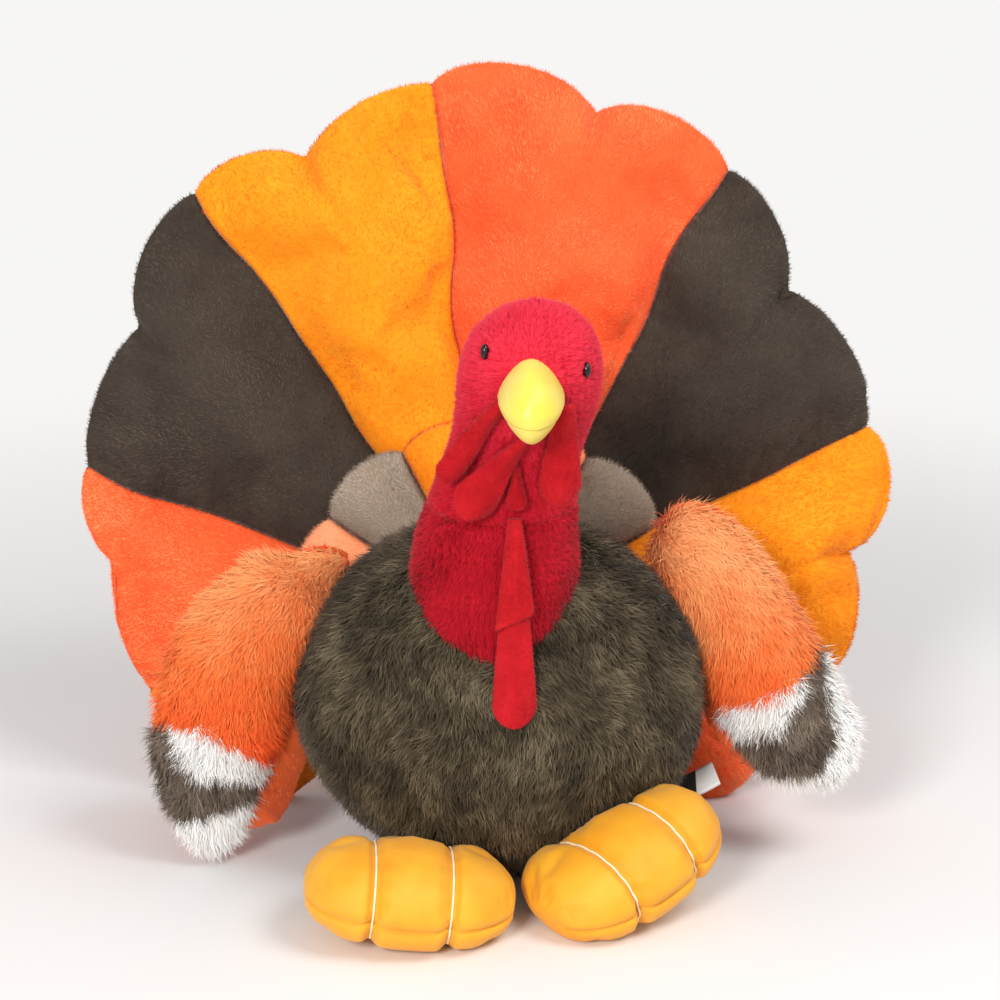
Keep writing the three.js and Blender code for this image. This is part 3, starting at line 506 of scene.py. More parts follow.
class Finish(Nodes):
    """A material. Its calls return outputs to pass on, but colour, bump and shade set its shader."""

    def __init__(self, name, roughness, sheen=0.0, specular=0.3):
        """Starts with a principled shader and reads textures at the toy's own places."""
        self.material = bpy.data.materials.new(name)
        super().__init__(self.material)
        self.shade({"Roughness": roughness, "Specular IOR Level": specular})
        self.shade({"Sheen Weight": sheen, "Sheen Roughness": 0.4})
        self.place = self.nodes.new("ShaderNodeTexCoord").outputs["Object"]

    def shade(self, inputs):
        """Sets or links inputs of the shader."""
        self.feed(self.nodes["Principled BSDF"], inputs)

    def colour(self, colour):
        """Colours it by an output or a code's linear numbers."""
        self.shade({"Base Color": colour})

    def bump(self, height, depth):
        """Bumps it by a height, up to a depth."""
        made = self.node("ShaderNodeBump", {"Height": height, "Distance": depth, "Strength": 1.0})
        self.shade({"Normal": made.outputs["Normal"]})

    def noise(self, scale, detail=2.0, rough=0.55):
        """Soft noise from 0 to 1."""
        inputs = {"Vector": self.place, "Scale": scale, "Detail": detail, "Roughness": rough}
        return self.node("ShaderNodeTexNoise", inputs).outputs["Fac"]

    def attribute(self, name):
        """A number kept at each point of the mesh."""
        return self.node("ShaderNodeAttribute", attribute_name=name).outputs["Fac"]

    def along(self, axis, low, high):
        """0 to 1 between a low and a high place on an axis."""
        place = self.node("ShaderNodeSeparateXYZ", {"Vector": self.place}).outputs[axis]
        inputs = {"Value": place, "From Min": low, "From Max": high}
        return self.node("ShaderNodeMapRange", inputs).outputs["Result"]

    def mean(self, a, b, share):
        """Two numbers mixed, with the second's share."""
        return self.node("ShaderNodeMix", {0: share, 2: a, 3: b}, data_type="FLOAT").outputs[0]

    def ramp(self, value, stops):
        """The colour or grey of a number, from stops of a place with a colour or grey each."""
        made = self.node("ShaderNodeValToRGB", {"Fac": value})
        points = made.color_ramp.elements
        while len(points) < len(stops):
            points.new(0.5)
        for point, (place, colour) in zip(points, stops):
            point.position = place
            point.color = linear(colour) if isinstance(colour, str) else (colour, colour, colour, 1)
        return made.outputs["Color"]


def hair_finish(name, dark, middle, light, patch, root=0.5, patchy=0.5, rise=None):
    """Hairs: their own tone mixed with soft patches over the toy, and darker towards the root, which is
    painted shade inside the pile. With a rise, a pair of heights and a share, the tone also lightens
    from the low height to the high, which is painted light from above."""
    made = Finish(name, 0.85, sheen=0.15, specular=0.2)
    value = made.mean(made.attribute("tone"), made.noise(patch, 3.0), patchy)
    # painted light: the tone lightens with height, as if lit from above
    if rise:
        low, high, share = rise
        value = made.mean(value, made.along("Z", low, high), share)
    tint = made.ramp(value, [(0.25, dark), (0.5, middle), (0.75, light)])
    # painted shade: each hair darkens from its tip to its root by the root share, as if shaded by the pile
    # around it
    shade = made.ramp(made.attribute("along"), [(0.0, root), (0.8, 1.0)])
    inputs = {0: 1.0, 6: tint, 7: shade}
    made.colour(made.node("ShaderNodeMix", inputs, data_type="RGBA", blend_type="MULTIPLY").outputs[2])
    return made.material


def cloth_finish(name, dark, light, patch, grain=900.0, depth=0.12 * MM, sheen=0.2):
    """The woven ground under pile: soft patches and a fine rough grain."""
    made = Finish(name, 0.9, sheen=sheen, specular=0.2)
    made.colour(made.ramp(made.noise(patch, 4.0, 0.6), [(0.3, dark), (0.7, light)]))
    made.bump(made.noise(grain), depth)
    return made.material


def knit_finish(name, dark, light, roughness, depth=0.12 * MM, specular=0.4):
    """Smooth stretched knit: fine rows of loops across a soft change of colour."""
    made = Finish(name, roughness, sheen=0.1, specular=specular)
    made.colour(made.ramp(made.noise(28.0, 3.0), [(0.3, dark), (0.7, light)]))
    inputs = {"Vector": made.place, "Scale": 700.0, "Distortion": 1.2, "Detail": 2.0}
    loops = made.node("ShaderNodeTexWave", inputs, wave_type="BANDS", bands_direction="DIAGONAL")
    made.bump(made.mean(loops.outputs["Fac"], made.noise(60.0, 3.0), 0.35), depth)
    return made.material


def plain_finish(name, code, roughness, grain, specular=0.4):
    """One colour with a fine grain."""
    made = Finish(name, roughness, specular=specular)
    made.colour(linear(code))
    made.bump(made.noise(grain, 3.0), 0.15 * MM)
    return made.material


def tag_finish():
    """Pale satin with a dark woven strip along the end by the body."""
    made = Finish("tag satin", 0.4, specular=0.5)
    share = made.along("X", TAG_STRIP_END, TAG_STRIP_END + 0.4 * MM)
    made.colour(made.ramp(share, [(0.3, "#2a2827"), (0.7, "#dedcd8")]))
    made.bump(made.noise(2500.0, 3.0), 0.1 * MM)
    return made.material


# The root share of each hair colour is painted shade inside the pile
BODY_HAIR = hair_finish("body hair", "#2d251b", "#564b38", "#8a7b61", 30.0, patchy=0.62)
BODY_CLOTH = cloth_finish("body cloth", "#2e261d", "#463b2f", 30.0)
BAND_HAIR = hair_finish("brown wing hair", "#4b3e31", "#77675a", "#a3917e", 40.0, root=0.55)
BAND_CLOTH = cloth_finish("brown wing cloth", "#3a3026", "#54483b", 40.0)
WHITE_HAIR = hair_finish("white wing hair", "#f4efe7", "#fcfaf6", "#ffffff", 40.0, root=0.97)
WHITE_CLOTH = cloth_finish("white wing cloth", "#e9e2d8", "#f6f2ec", 40.0)
# painted light: the orange wing hair lightens towards the wing's top, as if lit from above
WING_HAIR = hair_finish(
    "orange wing hair", "#ff6029", "#ff8440", "#ffb474", 20.0, root=0.93, patchy=0.6,
    rise=(0.07, 0.185, 0.45),
)
WING_CLOTH = cloth_finish("orange wing cloth", "#f35a2a", "#fb7540", 30.0)
LINING_HAIR = hair_finish("lining pile", "#f0622a", "#fa7a3a", "#ff9552", 18.0, root=0.85, patchy=0.7)
LINING_CLOTH = cloth_finish("lining cloth", "#e85a26", "#f67238", 30.0)
# painted light: the red pile lightens from the throat up to the crown, as if lit from above
RED_HAIR = hair_finish(
    "red head pile", "#c41023", "#e21b33", "#f83850", 45.0, root=0.7, rise=(0.2, 0.33, 0.4),
)
RED_CLOTH = cloth_finish("red head cloth", "#bd0f21", "#dc1a2e", 45.0)
FELT_HAIR = hair_finish("felt nap", "#b60d17", "#d1141f", "#e0242e", 60.0, root=0.9, patchy=0.6)
FELT = cloth_finish("red felt", "#b0101a", "#c81a24", 60.0, grain=1400.0, depth=0.3 * MM, sheen=0.1)
YELLOW_KNIT = knit_finish("yellow knit", "#eb9c1a", "#f3b02b", 0.55)
BEAK_KNIT = knit_finish("beak knit", "#ecd048", "#f4e272", 0.32, depth=0.06 * MM, specular=0.5)
THREAD = plain_finish("cream thread", "#f1e6c8", 0.7, 3000.0)
EYE = plain_finish("eye bead", "#190c0b", 0.22, 200.0, specular=0.5)
TAG = tag_finish()
BASE_FELT = cloth_finish("base felt", "#3c332a", "#4d4238", 50.0, grain=1400.0)
FILLING = cloth_finish("fibre filling", "#e9e6e0", "#f6f4f0", 60.0)

# Fan plush: the pile's tones, the cloth's tones, the painted shade at the pile's roots and its patchiness
FAN_TONES = {
    "amber": (("#f87d08", "#fd8d12", "#ffb033"), ("#f78d0c", "#ffa01c"), 0.9, 0.75),
    "orange": (("#fb5a28", "#ff8047", "#ffab72"), ("#f64f22", "#fe6734"), 0.9, 0.75),
    "brown": (("#3b3129", "#4f4439", "#6d5f52"), ("#342b23", "#463c32"), 0.8, 0.7),
    "taupe": (("#a08e7b", "#baa996", "#d2c2af"), ("#887664", "#a2907d"), 0.8, 0.7),
    "peach": (("#fb9a66", "#ffad7c", "#ffc296"), ("#f59160", "#fda574"), 0.9, 0.7),
}
FAN_HAIR, FAN_CLOTH = {}, {}
for colour, (hair_tones, cloth_tones, root, patchy) in FAN_TONES.items():
    FAN_HAIR[f"{colour}_plush"] = hair_finish(f"{colour} pile", *hair_tones, 14.0, root, patchy)
    FAN_CLOTH[f"{colour}_plush"] = cloth_finish(f"{colour} cloth", *cloth_tones, 18.0)

# Inner pieces and the base panel keep their CAD shapes
for inner in ("pellet_bag", "body_filling", "head_filling"):
    frame["nodes"][inner].data.materials[0] = FILLING
frame["nodes"]["base_panel"].data.materials[0] = BASE_FELT


# Body
def body_skin():
    """An ellipsoid, its lowest part pressed flat on the table, with soft lumps of stuffing: two
    slow waves added to its radius."""
    fall, turn, out = ball(59, 96)
    lumps = BODY_LUMPS * (np.sin(5 * turn + 2 * fall) + np.sin(7 * fall - 3 * turn)) * np.sin(fall) ** 2
    rings = BODY_CENTRE + out * (BODY_HALF - BODY_PILE + lumps[..., None])
    return closed_skin("body_cover", on_table(rings))


body = dress(body_skin(), "body", "brown_fur", BODY_CLOTH, ["body_fur_cover"], fill=0.85)


def down_the_body(points):
    """Combed down and outward from the top of the back, the way the cloth was cut."""
    return points * np.array([4, 0, 0]) + DOWN


def body_part(label):
    """Which roots on the body belong to a coat: in front its left or right half, else the rear."""

    def keep(points, normal):
        hub = np.hypot(points[:, 0], points[:, 2] - HUB_HEIGHT)
        front = points[:, 1] < COAT_SPLIT
        seat = HUB_HEIGHT - points[:, 2] > 0.75 * np.abs(points[:, 0] - FAN_SIDE) + 3 * MM
        rear = ~front & ((hub > HUB_BARE) | seat)
        part = {"left": front & (points[:, 0] < 0), "right": front & (points[:, 0] >= 0), "rear": rear}
        return part[label] & (points[:, 2] > 2 * MM)

    return keep


for label, count, seed in (("left", 200000, 11), ("right", 200000, 12), ("rear", 100000, 13)):
    pile(
        f"body_hair_{label}", [body], ("body", "brown_fur", BODY_HAIR), count, length=11.5 * MM,
        width=0.62 * MM, comb=down_the_body, lift=32, seed=seed, keep=body_part(label), swirl=0.7,
        tuft=7 * MM,
    )

# Neck and head: rows of height, side, depth, half width and half depth
NECK_ROWS = np.array([
    [0.42, -0.04, -0.19, 0.375, 0.65],
    [0.465, -0.04, -0.2, 0.55, 0.675],
    [0.535, -0.04, -0.2, 0.612, 0.675],
    [0.605, -0.025, -0.21, 0.575, 0.625],
    [0.675, 0.025, -0.25, 0.52, 0.525],
    [0.738, 0.075, -0.29, 0.475, 0.475],
    [0.789, 0.14, -0.327, 0.47, 0.475],
    [0.845, 0.19, -0.365, 0.5, 0.512],
    [0.901, 0.21, -0.385, 0.5, 0.512],
    [0.952, 0.225, -0.385, 0.425, 0.425],
    [0.986, 0.24, -0.385, 0.26, 0.25],
    [1.0, 0.24, -0.385, 0.0, 0.0],
]) * np.array([HEAD_TOP, HEAD_WIDTH, 2 * BODY_HALF[1], HEAD_WIDTH, HEAD_WIDTH])


def neck_at(heights):
    """The neck's side, depth, half width and half depth at some heights."""
    return (np.interp(heights, NECK_ROWS[:, 0], NECK_ROWS[:, k]) for k in (1, 2, 3, 4))


def neck_rings(heights):
    """Oval rings up the leaning neck, each from the rows interpolated at its height. The cloth lies
    below its pile."""
    x, y, half_x, half_y = (values[:, None] for values in neck_at(heights))
    turn = whole_turn(72)
    across, inward = (half_x - HEAD_PILE) * np.cos(turn), (half_y - HEAD_PILE) * np.sin(turn)
    return np.stack([x + across, y + inward, heights[:, None] + 0 * turn], -1)


def rounded(rings, passes):
    """Rings drawn towards the mean of the ring before and the ring after, so rows don't show."""
    for _ in range(passes):
        rings = np.concatenate([rings[:1], (rings[:-2] + 2 * rings[1:-1] + rings[2:]) / 4, rings[-1:]])
    return rings


def throat_front(x, z):
    """The depth of the neck's front at a side and height, from the oval that the rows give."""
    side, depth, half_x, half_y = neck_at(z)
    across = np.clip((x - side) / np.maximum(half_x, 1e-6), -1, 1)
    return np.where(np.abs(across) < 1, depth - half_y * np.sqrt(1 - across**2), 1.0)


bib_heights = np.linspace(NECK_ROWS[0, 0], NECK_JOINT - SEAM_GAP, 26)
bib = closed_skin("neck_and_bib_cover", rounded(neck_rings(bib_heights), 3))
dress(bib, "body", "red_plush", RED_CLOTH, ["neck_and_bib"], fill=0.7)
crown = HEAD_TOP - (HEAD_TOP - NECK_JOINT) * (1 - np.sin(np.linspace(0, math.pi / 2, 44)))
head = closed_skin("head_cover_plush", rounded(neck_rings(crown[:-1]), 4))
dress(head, "head", "red_plush", RED_CLOTH, ["head_cover"], fill=0.75)

EYE_HALF = np.array([2.4, 3.2, 4.4]) * MM
EYES = {name: sum(corners(name)) / 2 for name in ("eye_left", "eye_right")}
for name, middle in EYES.items():
    bead = closed_skin(f"{name}_bead", middle + np.array([0, 0.5 * MM, 0]) + ball(19, 32)[2] * EYE_HALF)
    dress(bead, "head", "eye_black", EYE, [name])


def off_the_face(points, normal):
    """Roots of the head's pile: none over the eyes' slits or behind the beak."""
    clear = np.ones(len(points), bool)
    for eye in EYES.values():
        clear &= np.linalg.norm((points - eye) / (EYE_HALF + np.array([0.8, 6, 0.4]) * MM), axis=1) > 1
    beside = points[:, [0, 2]] - np.array([BEAK_ROOT[0], BEAK_COVERS_HEIGHT])
    beyond = np.linalg.norm(beside / BEAK_COVERS, axis=1) > 1
    return clear & (beyond | (points[:, 1] > BEAK_ROOT[1] + 3 * MM))


def bib_shows(points, normal):
    """Roots of the bib's pile: only outside the body."""
    return np.linalg.norm((points - BODY_CENTRE) / (BODY_HALF - 4 * MM), axis=1) > 1


def from_the_beak(points):
    """Combed away from the beak's root: up over the forehead, back along the cheeks, down the throat."""
    return points - BEAK_ROOT + np.array([0, 30 * MM, -10 * MM])


for name, skin, body_name, count, length, comb, seed, keep in (
    ("head_pile", head, "head", 120000, 3.6 * MM, from_the_beak, 21, off_the_face),
    ("bib_pile", bib, "body", 150000, 4.4 * MM, DOWN, 22, bib_shows),
):
    pile(
        name, [skin], (body_name, "red_plush", RED_HAIR), count, length, width=0.6 * MM, comb=comb,
        lift=28, seed=seed, keep=keep, stray=0.4, bent=False, swirl=0.6, tuft=4 * MM,
    )

# Beak
def beak_half(name, upper):
    """A blunt cone whose half height and half width fall by the root of 1 - share^4. Each ring is
    the part of an oval above or below the mouth, whose height rises with the square of the side."""
    share = np.sin(np.linspace(0.1, math.pi / 2, 40))[:-1]
    size = np.sqrt(1 - share**4)
    middle = BEAK_ROOT[2] - BEAK_DROP * share
    half_x, half_z = BEAK_HALF[0] * size, BEAK_HALF[1] * size
    mouth = MOUTH + (MOUTH_GAP if upper else -MOUTH_GAP) / 2 - middle
    bow = MOUTH_BOW * half_x**2
    rise = (-half_z + np.sqrt(half_z**2 + 4 * bow * (mouth + bow))) / (2 * bow)
    edge = np.arcsin(np.clip(rise, -0.999, 0.999))
    first, last = (edge, math.pi - edge) if upper else (math.pi - edge, 2 * math.pi + edge)
    turn = first[:, None] + (last - first)[:, None] * np.linspace(0, 1, 56)[None, :]
    beside = np.minimum(turn - first[:, None], last[:, None] - turn)
    tuck = 1 - (0.025 if upper else 0.03) * bell(beside, 0.06)
    low, high = np.clip(-np.sin(turn), 0, 1), np.clip(np.sin(turn), 0, 1)
    drawn_in = BEAK_TAPER[0] * low + BEAK_TAPER[1] * high**1.2
    x = BEAK_ROOT[0] + half_x[:, None] * tuck * (1 - drawn_in) * np.cos(turn)
    z = middle[:, None] + half_z[:, None] * tuck * np.sin(turn)
    y = BEAK_ROOT[1] - BEAK_LENGTH * share[:, None] * (1 if upper else 0.97) + 0 * x
    return closed_skin(name, np.stack([x, y, z], -1))


for name, upper in (("beak_upper", True), ("beak_lower", False)):
    dress(beak_half(f"{name}_cover", upper), "head", "beak_satin", BEAK_KNIT, [name], fill=0.8)


# Felt pieces
FELT_FOLD = 1.5 * MM  # height of the fold that runs down from the top of a felt
FELT_LAYER = 3.3 * MM  # from the middle of one felt to the middle of the one over it
FELT_CURL = 30  # a felt's edges curl back by this times the square of the side, per metre


def lobe_rows(length, top_width, end_radius, tuck=0.0):
    """Half widths of a strip down its length: straight from its top to its round end, then a
    quarter circle in to nothing. A tuck is a narrower piece above the top, hidden in the seam."""
    end = 1 - 0.2 * (1 - np.linspace(0, 1, 40)) ** 2
    down_it = length * np.append(np.linspace(0, 0.8, 40)[:-1], end)
    down_it = np.append(np.linspace(-tuck, 0, 8)[:-1], down_it) if tuck else down_it
    straight = length - end_radius
    slope = top_width / 2 + (end_radius - top_width / 2) * np.clip(down_it / straight, -0.2, 1)
    beyond = np.clip((down_it - straight) / end_radius, 0, 1)
    return down_it, np.where(down_it > straight, end_radius * np.sqrt(1 - beyond**2), slope)


def hang_felt(node, body_name, down_it, half, layer, place, roll, lean, centre=0.0, drape=None):
    """A soft flat strip hung from its top: each ring is a rounded flat section that curls back at
    its edges by the square of the side, over one slow wave down its length. It is leaned and
    rolled, in degrees, laid on the throat where it would cut into it, and has a short nap."""
    turn = whole_turn(36)
    flat = np.abs(np.cos(turn)) ** 0.75 * np.sign(np.cos(turn))
    rise = np.abs(np.sin(turn)) ** 0.8 * np.sign(np.sin(turn))
    half, down = np.maximum(half, 0.02 * MM)[:, None], down_it[:, None]
    thick = 2.0 * MM * np.sqrt(np.minimum(1, half / (3 * MM)))
    x = half * flat
    wave = 1.2 * MM * np.sin(down * 110 + 2 * layer + 160 * x)
    fold = FELT_FOLD * bell(x, 2.5 * MM) * bell(down, 0.6 * down_it[-1])
    y = -1.5 * MM - layer * FELT_LAYER + thick * rise + FELT_CURL * x**2 + wave - fold
    points = np.stack([x + np.reshape(centre, (-1, 1)), y, -down + 0 * x], -1)
    points = turned(turned(points, 1, math.radians(roll)), 0, math.radians(lean)) + place
    felt = closed_skin(f"{node}_felt", drape(points) if drape else points)
    dress(felt, body_name, "red_felt", FELT, [node], fill=0.1)
    pile(
        f"{node}_nap", [felt], (body_name, "red_felt", FELT_HAIR), 14000, length=1.3 * MM,
        width=0.35 * MM, comb=DOWN, lift=30, seed=30 + len(node), stray=0.8, bent=False,
    )


def over_throat(points):
    """Moved forward as one across each ring, until its middle lies just in front of the neck."""
    front = throat_front(points[..., 0], points[..., 2]).min(1)
    forward = np.maximum(points[..., 1].max(1) - (front - 1.0 * MM), 0)
    forward = np.convolve(np.pad(forward, 4, "edge"), np.ones(9) / 9, "valid")
    moved = points.copy()
    moved[..., 1] -= forward[:, None]
    return moved


# Wattles: side, drop and depth from the beak's root, length, width at the top and end radius as
# shares of the head's width, then roll and lean in degrees and the tuck above the top
WATTLES = {
    "wattle_left": ([-0.106, 0.4, 0.0875, 0.6, 0.11, 0.15], 35, 8, 10 * MM),
    "wattle_left_fold": ([-0.244, 0.1, 0.18, 0.69, 0.1, 0.1], 30, 23, 8 * MM),
    "wattle_right": ([0.22, 0.1375, 0.1625, 0.675, 0.15, 0.144], 2, 12, 7 * MM),
    "wattle_middle": ([-0.094, 0.6125, -0.02, 0.24, 0.05, 0.0625], 0, 0, 7 * MM),
}
for name, (shares, roll, lean, tuck) in WATTLES.items():
    side, drop, depth, length, top_width, end_radius = np.array(shares) * HEAD_WIDTH
    place = BEAK_ROOT + np.array([side, -depth, -drop])
    down_it, half = lobe_rows(length, top_width, end_radius, tuck)
    hang_felt(name, "head", down_it, half, 0, place, roll, lean, drape=over_throat)

SNOOD_TOP = 0.6676 * HEAD_TOP
SNOOD_SIDE = 8 * MM
SNOOD_LENGTH = 118 * MM
SNOOD_FORWARD = 12 * MM
SNOOD_WIDTH = 7 * MM
FLAP_LENGTH = 62 * MM
SNOOD_LEAN = -math.degrees(math.atan2(SNOOD_FORWARD, SNOOD_LENGTH))
snood_place = np.array([SNOOD_SIDE, float(throat_front(SNOOD_SIDE, SNOOD_TOP)) - SEAM_GAP, SNOOD_TOP])
down_it, half = lobe_rows(SNOOD_LENGTH, SNOOD_WIDTH, end_radius=12.5 * MM)
hang_felt("snood_lower", "snood", down_it, half, 0, snood_place, 0, SNOOD_LEAN)
down_it = np.linspace(0, FLAP_LENGTH, 60)
left_edge = np.interp(down_it, [0, FLAP_LENGTH], [-SNOOD_WIDTH / 2, -10.5 * MM])
right_edge = np.interp(
    down_it, [0, 50 * MM, 54 * MM, FLAP_LENGTH], [SNOOD_WIDTH / 2, 10.3 * MM, 9.5 * MM, -10.3 * MM],
)
half, centre = (right_edge - left_edge) / 2, (left_edge + right_edge) / 2
hang_felt("snood_upper", "snood", down_it, half, 1, snood_place, 0, SNOOD_LEAN, centre)


# Tail
def round_lobe(along):
    """A round bump from 0 through 1 back to 0."""
    low = math.sqrt(0.15)
    return (np.sqrt(1 - 0.85 * (2 * along - 1) ** 2) - low) / (1 - low)


def large_rim(k, across):
    """Reach of a large panel's rim: from seam to notch to seam, with a round lobe on each stretch."""
    first = across <= NOTCH_PLACE[k]
    along = np.where(first, across / NOTCH_PLACE[k], (across - NOTCH_PLACE[k]) / (1 - NOTCH_PLACE[k]))
    start = np.where(first, SEAM_REACH[k], NOTCH_REACH[k])
    end = np.where(first, NOTCH_REACH[k], SEAM_REACH[k + 1])
    rise = np.where(first, LOBE_RISE[k, 0], LOBE_RISE[k, 1])
    return start + (end - start) * along + rise * round_lobe(along)


def small_rim(across):
    """Reach of a small panel's rim: a circle drawn in between one round lobe and the next."""
    return SMALL_RADIUS + SMALL_LOBE - SMALL_SCALLOP * (1 - round_lobe(across))


def fullness(across, along):
    """How full a panel is: 0 at its seams and its rim, near 1 in its middle."""
    return np.sin(math.pi * across) ** 0.66 * np.sqrt(along) * (1 - along**8)


def large_front(across, along):
    """How far the front of a large panel stands before the fan's middle."""
    return FAN_EDGE / 2 * edge_round(across, along) + FAN_FRONT * fullness(across, along)


def edge_round(across, along):
    """1 inside a panel, falling round to 0 at its seams and its rim."""
    return np.sqrt(1 - np.abs(2 * across - 1) ** 14) * np.sqrt(1 - along**24)


def past_small_panels(reach, over):
    """0 where the small panels cover the large ones, rising smoothly to 1 over a distance."""
    share = np.clip((reach - 0.85 * SMALL_RADIUS) / over, 0, 1)
    return share**2 * (3 - 2 * share)


def strayed(angle, reach):
    """Angles turned by a slow wave of reach and angle, the same for every large panel, so that the
    seams are not straight and neighbours still meet."""
    wave = np.sin(reach / (27 * MM) + 4.3 * angle) + 0.5 * np.sin(reach / (15 * MM) - 3 * angle)
    return angle + SEAM_WANDER * wave / 1.5 * past_small_panels(reach, 60 * MM)


def puckers(k, across, along, reach):
    """Relief of a large panel, outwards from both faces: short gathers square to its seams, creases
    that run in from its rim, a valley at the notch between its two lobes and slow waves of filling.
    It fades out where the small panels lie over it."""
    beside = np.minimum(across, 1 - across) * (FAN_SEAMS[k + 1] - FAN_SEAMS[k]) * reach
    gathers = 1.1 * MM * np.sin(reach / (1.9 * MM) + 3 * k + 4 * across) * bell(beside, 10 * MM)
    creases = 1.2 * MM * np.sin(across * (24 + 5 * math.sin(k)) + k) * bell(1 - along, 0.13)
    notch = 5 * MM * bell(across - NOTCH_PLACE[k], 0.035) * np.exp((along - 1) / 0.11)
    waves = 1.3 * MM * np.sin(across * 9 + 2 * k + reach * 30) * np.sin(math.pi * across)
    relief = gathers + PUCKERING[k] * creases + waves
    return relief * past_small_panels(reach, 70 * MM) - PUCKERING[k] * notch


def in_tail(side, height, depth):
    """The fan's own sideways, upward and backward places, leaned back behind the body."""
    y = TAIL_DEPTH + depth * math.cos(TAIL_LEAN) + height * math.sin(TAIL_LEAN)
    z = height * math.cos(TAIL_LEAN) - depth * math.sin(TAIL_LEAN)
    return np.stack([side, y, z], -1)


def behind_body(points):
    """Pressed back where a point would lie in the body or under the table."""
    share = 1 - (points[..., 0] / BODY_HALF[0]) ** 2 - ((points[..., 2] - BODY_CENTRE[2]) / BODY_HALF[2]) ** 2
    back = (BODY_HALF[1] + SEAM_GAP) * np.sqrt(np.clip(share, 0, 1)) * (share > 0)
    made = points.copy()
    made[..., 1] = np.maximum(made[..., 1], back)
    return on_table(made)


def bed_depth(angle, reach):
    """Depth at which a small panel lies, halfway into the valleys between the large ones."""
    under = np.clip(np.searchsorted(FAN_SEAMS, angle) - 1, 0, 7)
    across = (angle - FAN_SEAMS[under]) / (FAN_SEAMS[under + 1] - FAN_SEAMS[under])
    along = (reach - HUB_HOLE) / (large_rim(under, across) - HUB_HOLE)
    return -(large_front(across, along) + large_front(0.5, along)) / 2 - FAN_LAYER_GAP - SMALL_PRESS


def blown_out(faces, reach):
    """The faces of a large panel, blown out by the filling where no small panel lies over them."""
    coarse = [face[::2, ::2] for face in faces]
    edge = np.zeros(coarse[0].shape[:2], bool)
    edge[[0, -1]], edge[:, [0, -1]] = True, True
    swollen = filled_out(coarse, [edge, edge], FAN_PRESSURE, FAN_SWELL)
    outside = past_small_panels(reach, 90 * MM)[..., None]
    moves = [finer(eased(now - was), *reach.shape) for was, now in zip(coarse, swollen)]
    return [face + move * outside for face, move in zip(faces, moves)]


def fan_panel(name, k, small):
    """A padded wedge between two seams. Each point has an angle and a reach from the hub. Its two
    faces stand apart by a thin edge and by the fullness, and meet round the outside. A large one is
    then blown out by the filling and gets its relief."""
    rows, columns = (33, 33) if small else (81, 65)
    across = np.linspace(0, 1, columns)[None, :]
    along = (1 - (1 - np.linspace(0, 1, rows)) ** 1.3)[:, None]
    seams = SMALL_SEAMS if small else FAN_SEAMS
    reach = HUB_HOLE + ((small_rim(across) if small else large_rim(k, across)) - HUB_HOLE) * along
    overlap = (0 if small else SEAM_OVERLAP) / reach
    angle = seams[k] - overlap + (seams[k + 1] - seams[k] + 2 * overlap) * across
    shown = angle if small else strayed(angle, reach)
    side, height = FAN_SIDE + reach * np.cos(shown), HUB_HEIGHT + reach * np.sin(shown)
    edge, full = edge_round(across, along), fullness(across, along)
    if small:
        back = bed_depth(angle, reach)
        front = back - SMALL_EDGE * edge - SMALL_FRONT * full
    else:
        back = FAN_EDGE / 2 * edge + FAN_BACK * full
        front = -large_front(across, along)
    faces = [np.stack([side, depth + 0 * side, height], -1) for depth in (front, back)]
    if not small:
        faces = blown_out(faces, reach)
        relief = puckers(k, across, along, reach) * edge
        faces[0][..., 1] -= relief
        faces[1][..., 1] += 0.6 * relief
    faces = [behind_body(in_tail(face[..., 0], face[..., 2], face[..., 1])) for face in faces]
    return two_faced(name, *faces)


def outward(points):
    """Combed away from the hub."""
    return points - in_tail(np.array(FAN_SIDE), np.array(HUB_HEIGHT), np.array(0.0))


def seen_of_fan(points, normal):
    """Roots of the fan's pile: none in the body or on the table."""
    share = np.linalg.norm((points - BODY_CENTRE) / (BODY_HALF + 2 * MM), axis=1)
    return (share > 1) & (points[:, 2] > 1 * MM)


SLOT_OF = {entry["node"]: entry["material_slot"] for entry in frame["record"]["subparts"]}
for small, size, panels, hairs in ((False, "large", range(8), 57000), (True, "small", range(1, 7), 18000)):
    for k in panels:
        node = f"{size}_fan_panel_{k if small else k + 1}"
        panel_slot = SLOT_OF[node]
        look = "peach_plush" if small and panel_slot == "orange_plush" else panel_slot
        pad = fan_panel(f"{node}_pad", k, small)
        dress(pad, "tail", panel_slot, FAN_CLOTH[look], [node], fill=0.6)
        pile(
            f"{node}_pile", [pad], ("tail", panel_slot, FAN_HAIR[look]), hairs, length=3.2 * MM,
            width=0.5 * MM, comb=outward, lift=23, seed=40 + k + 20 * small, keep=seen_of_fan,
            stray=0.35, bent=False, swirl=0.6,
        )


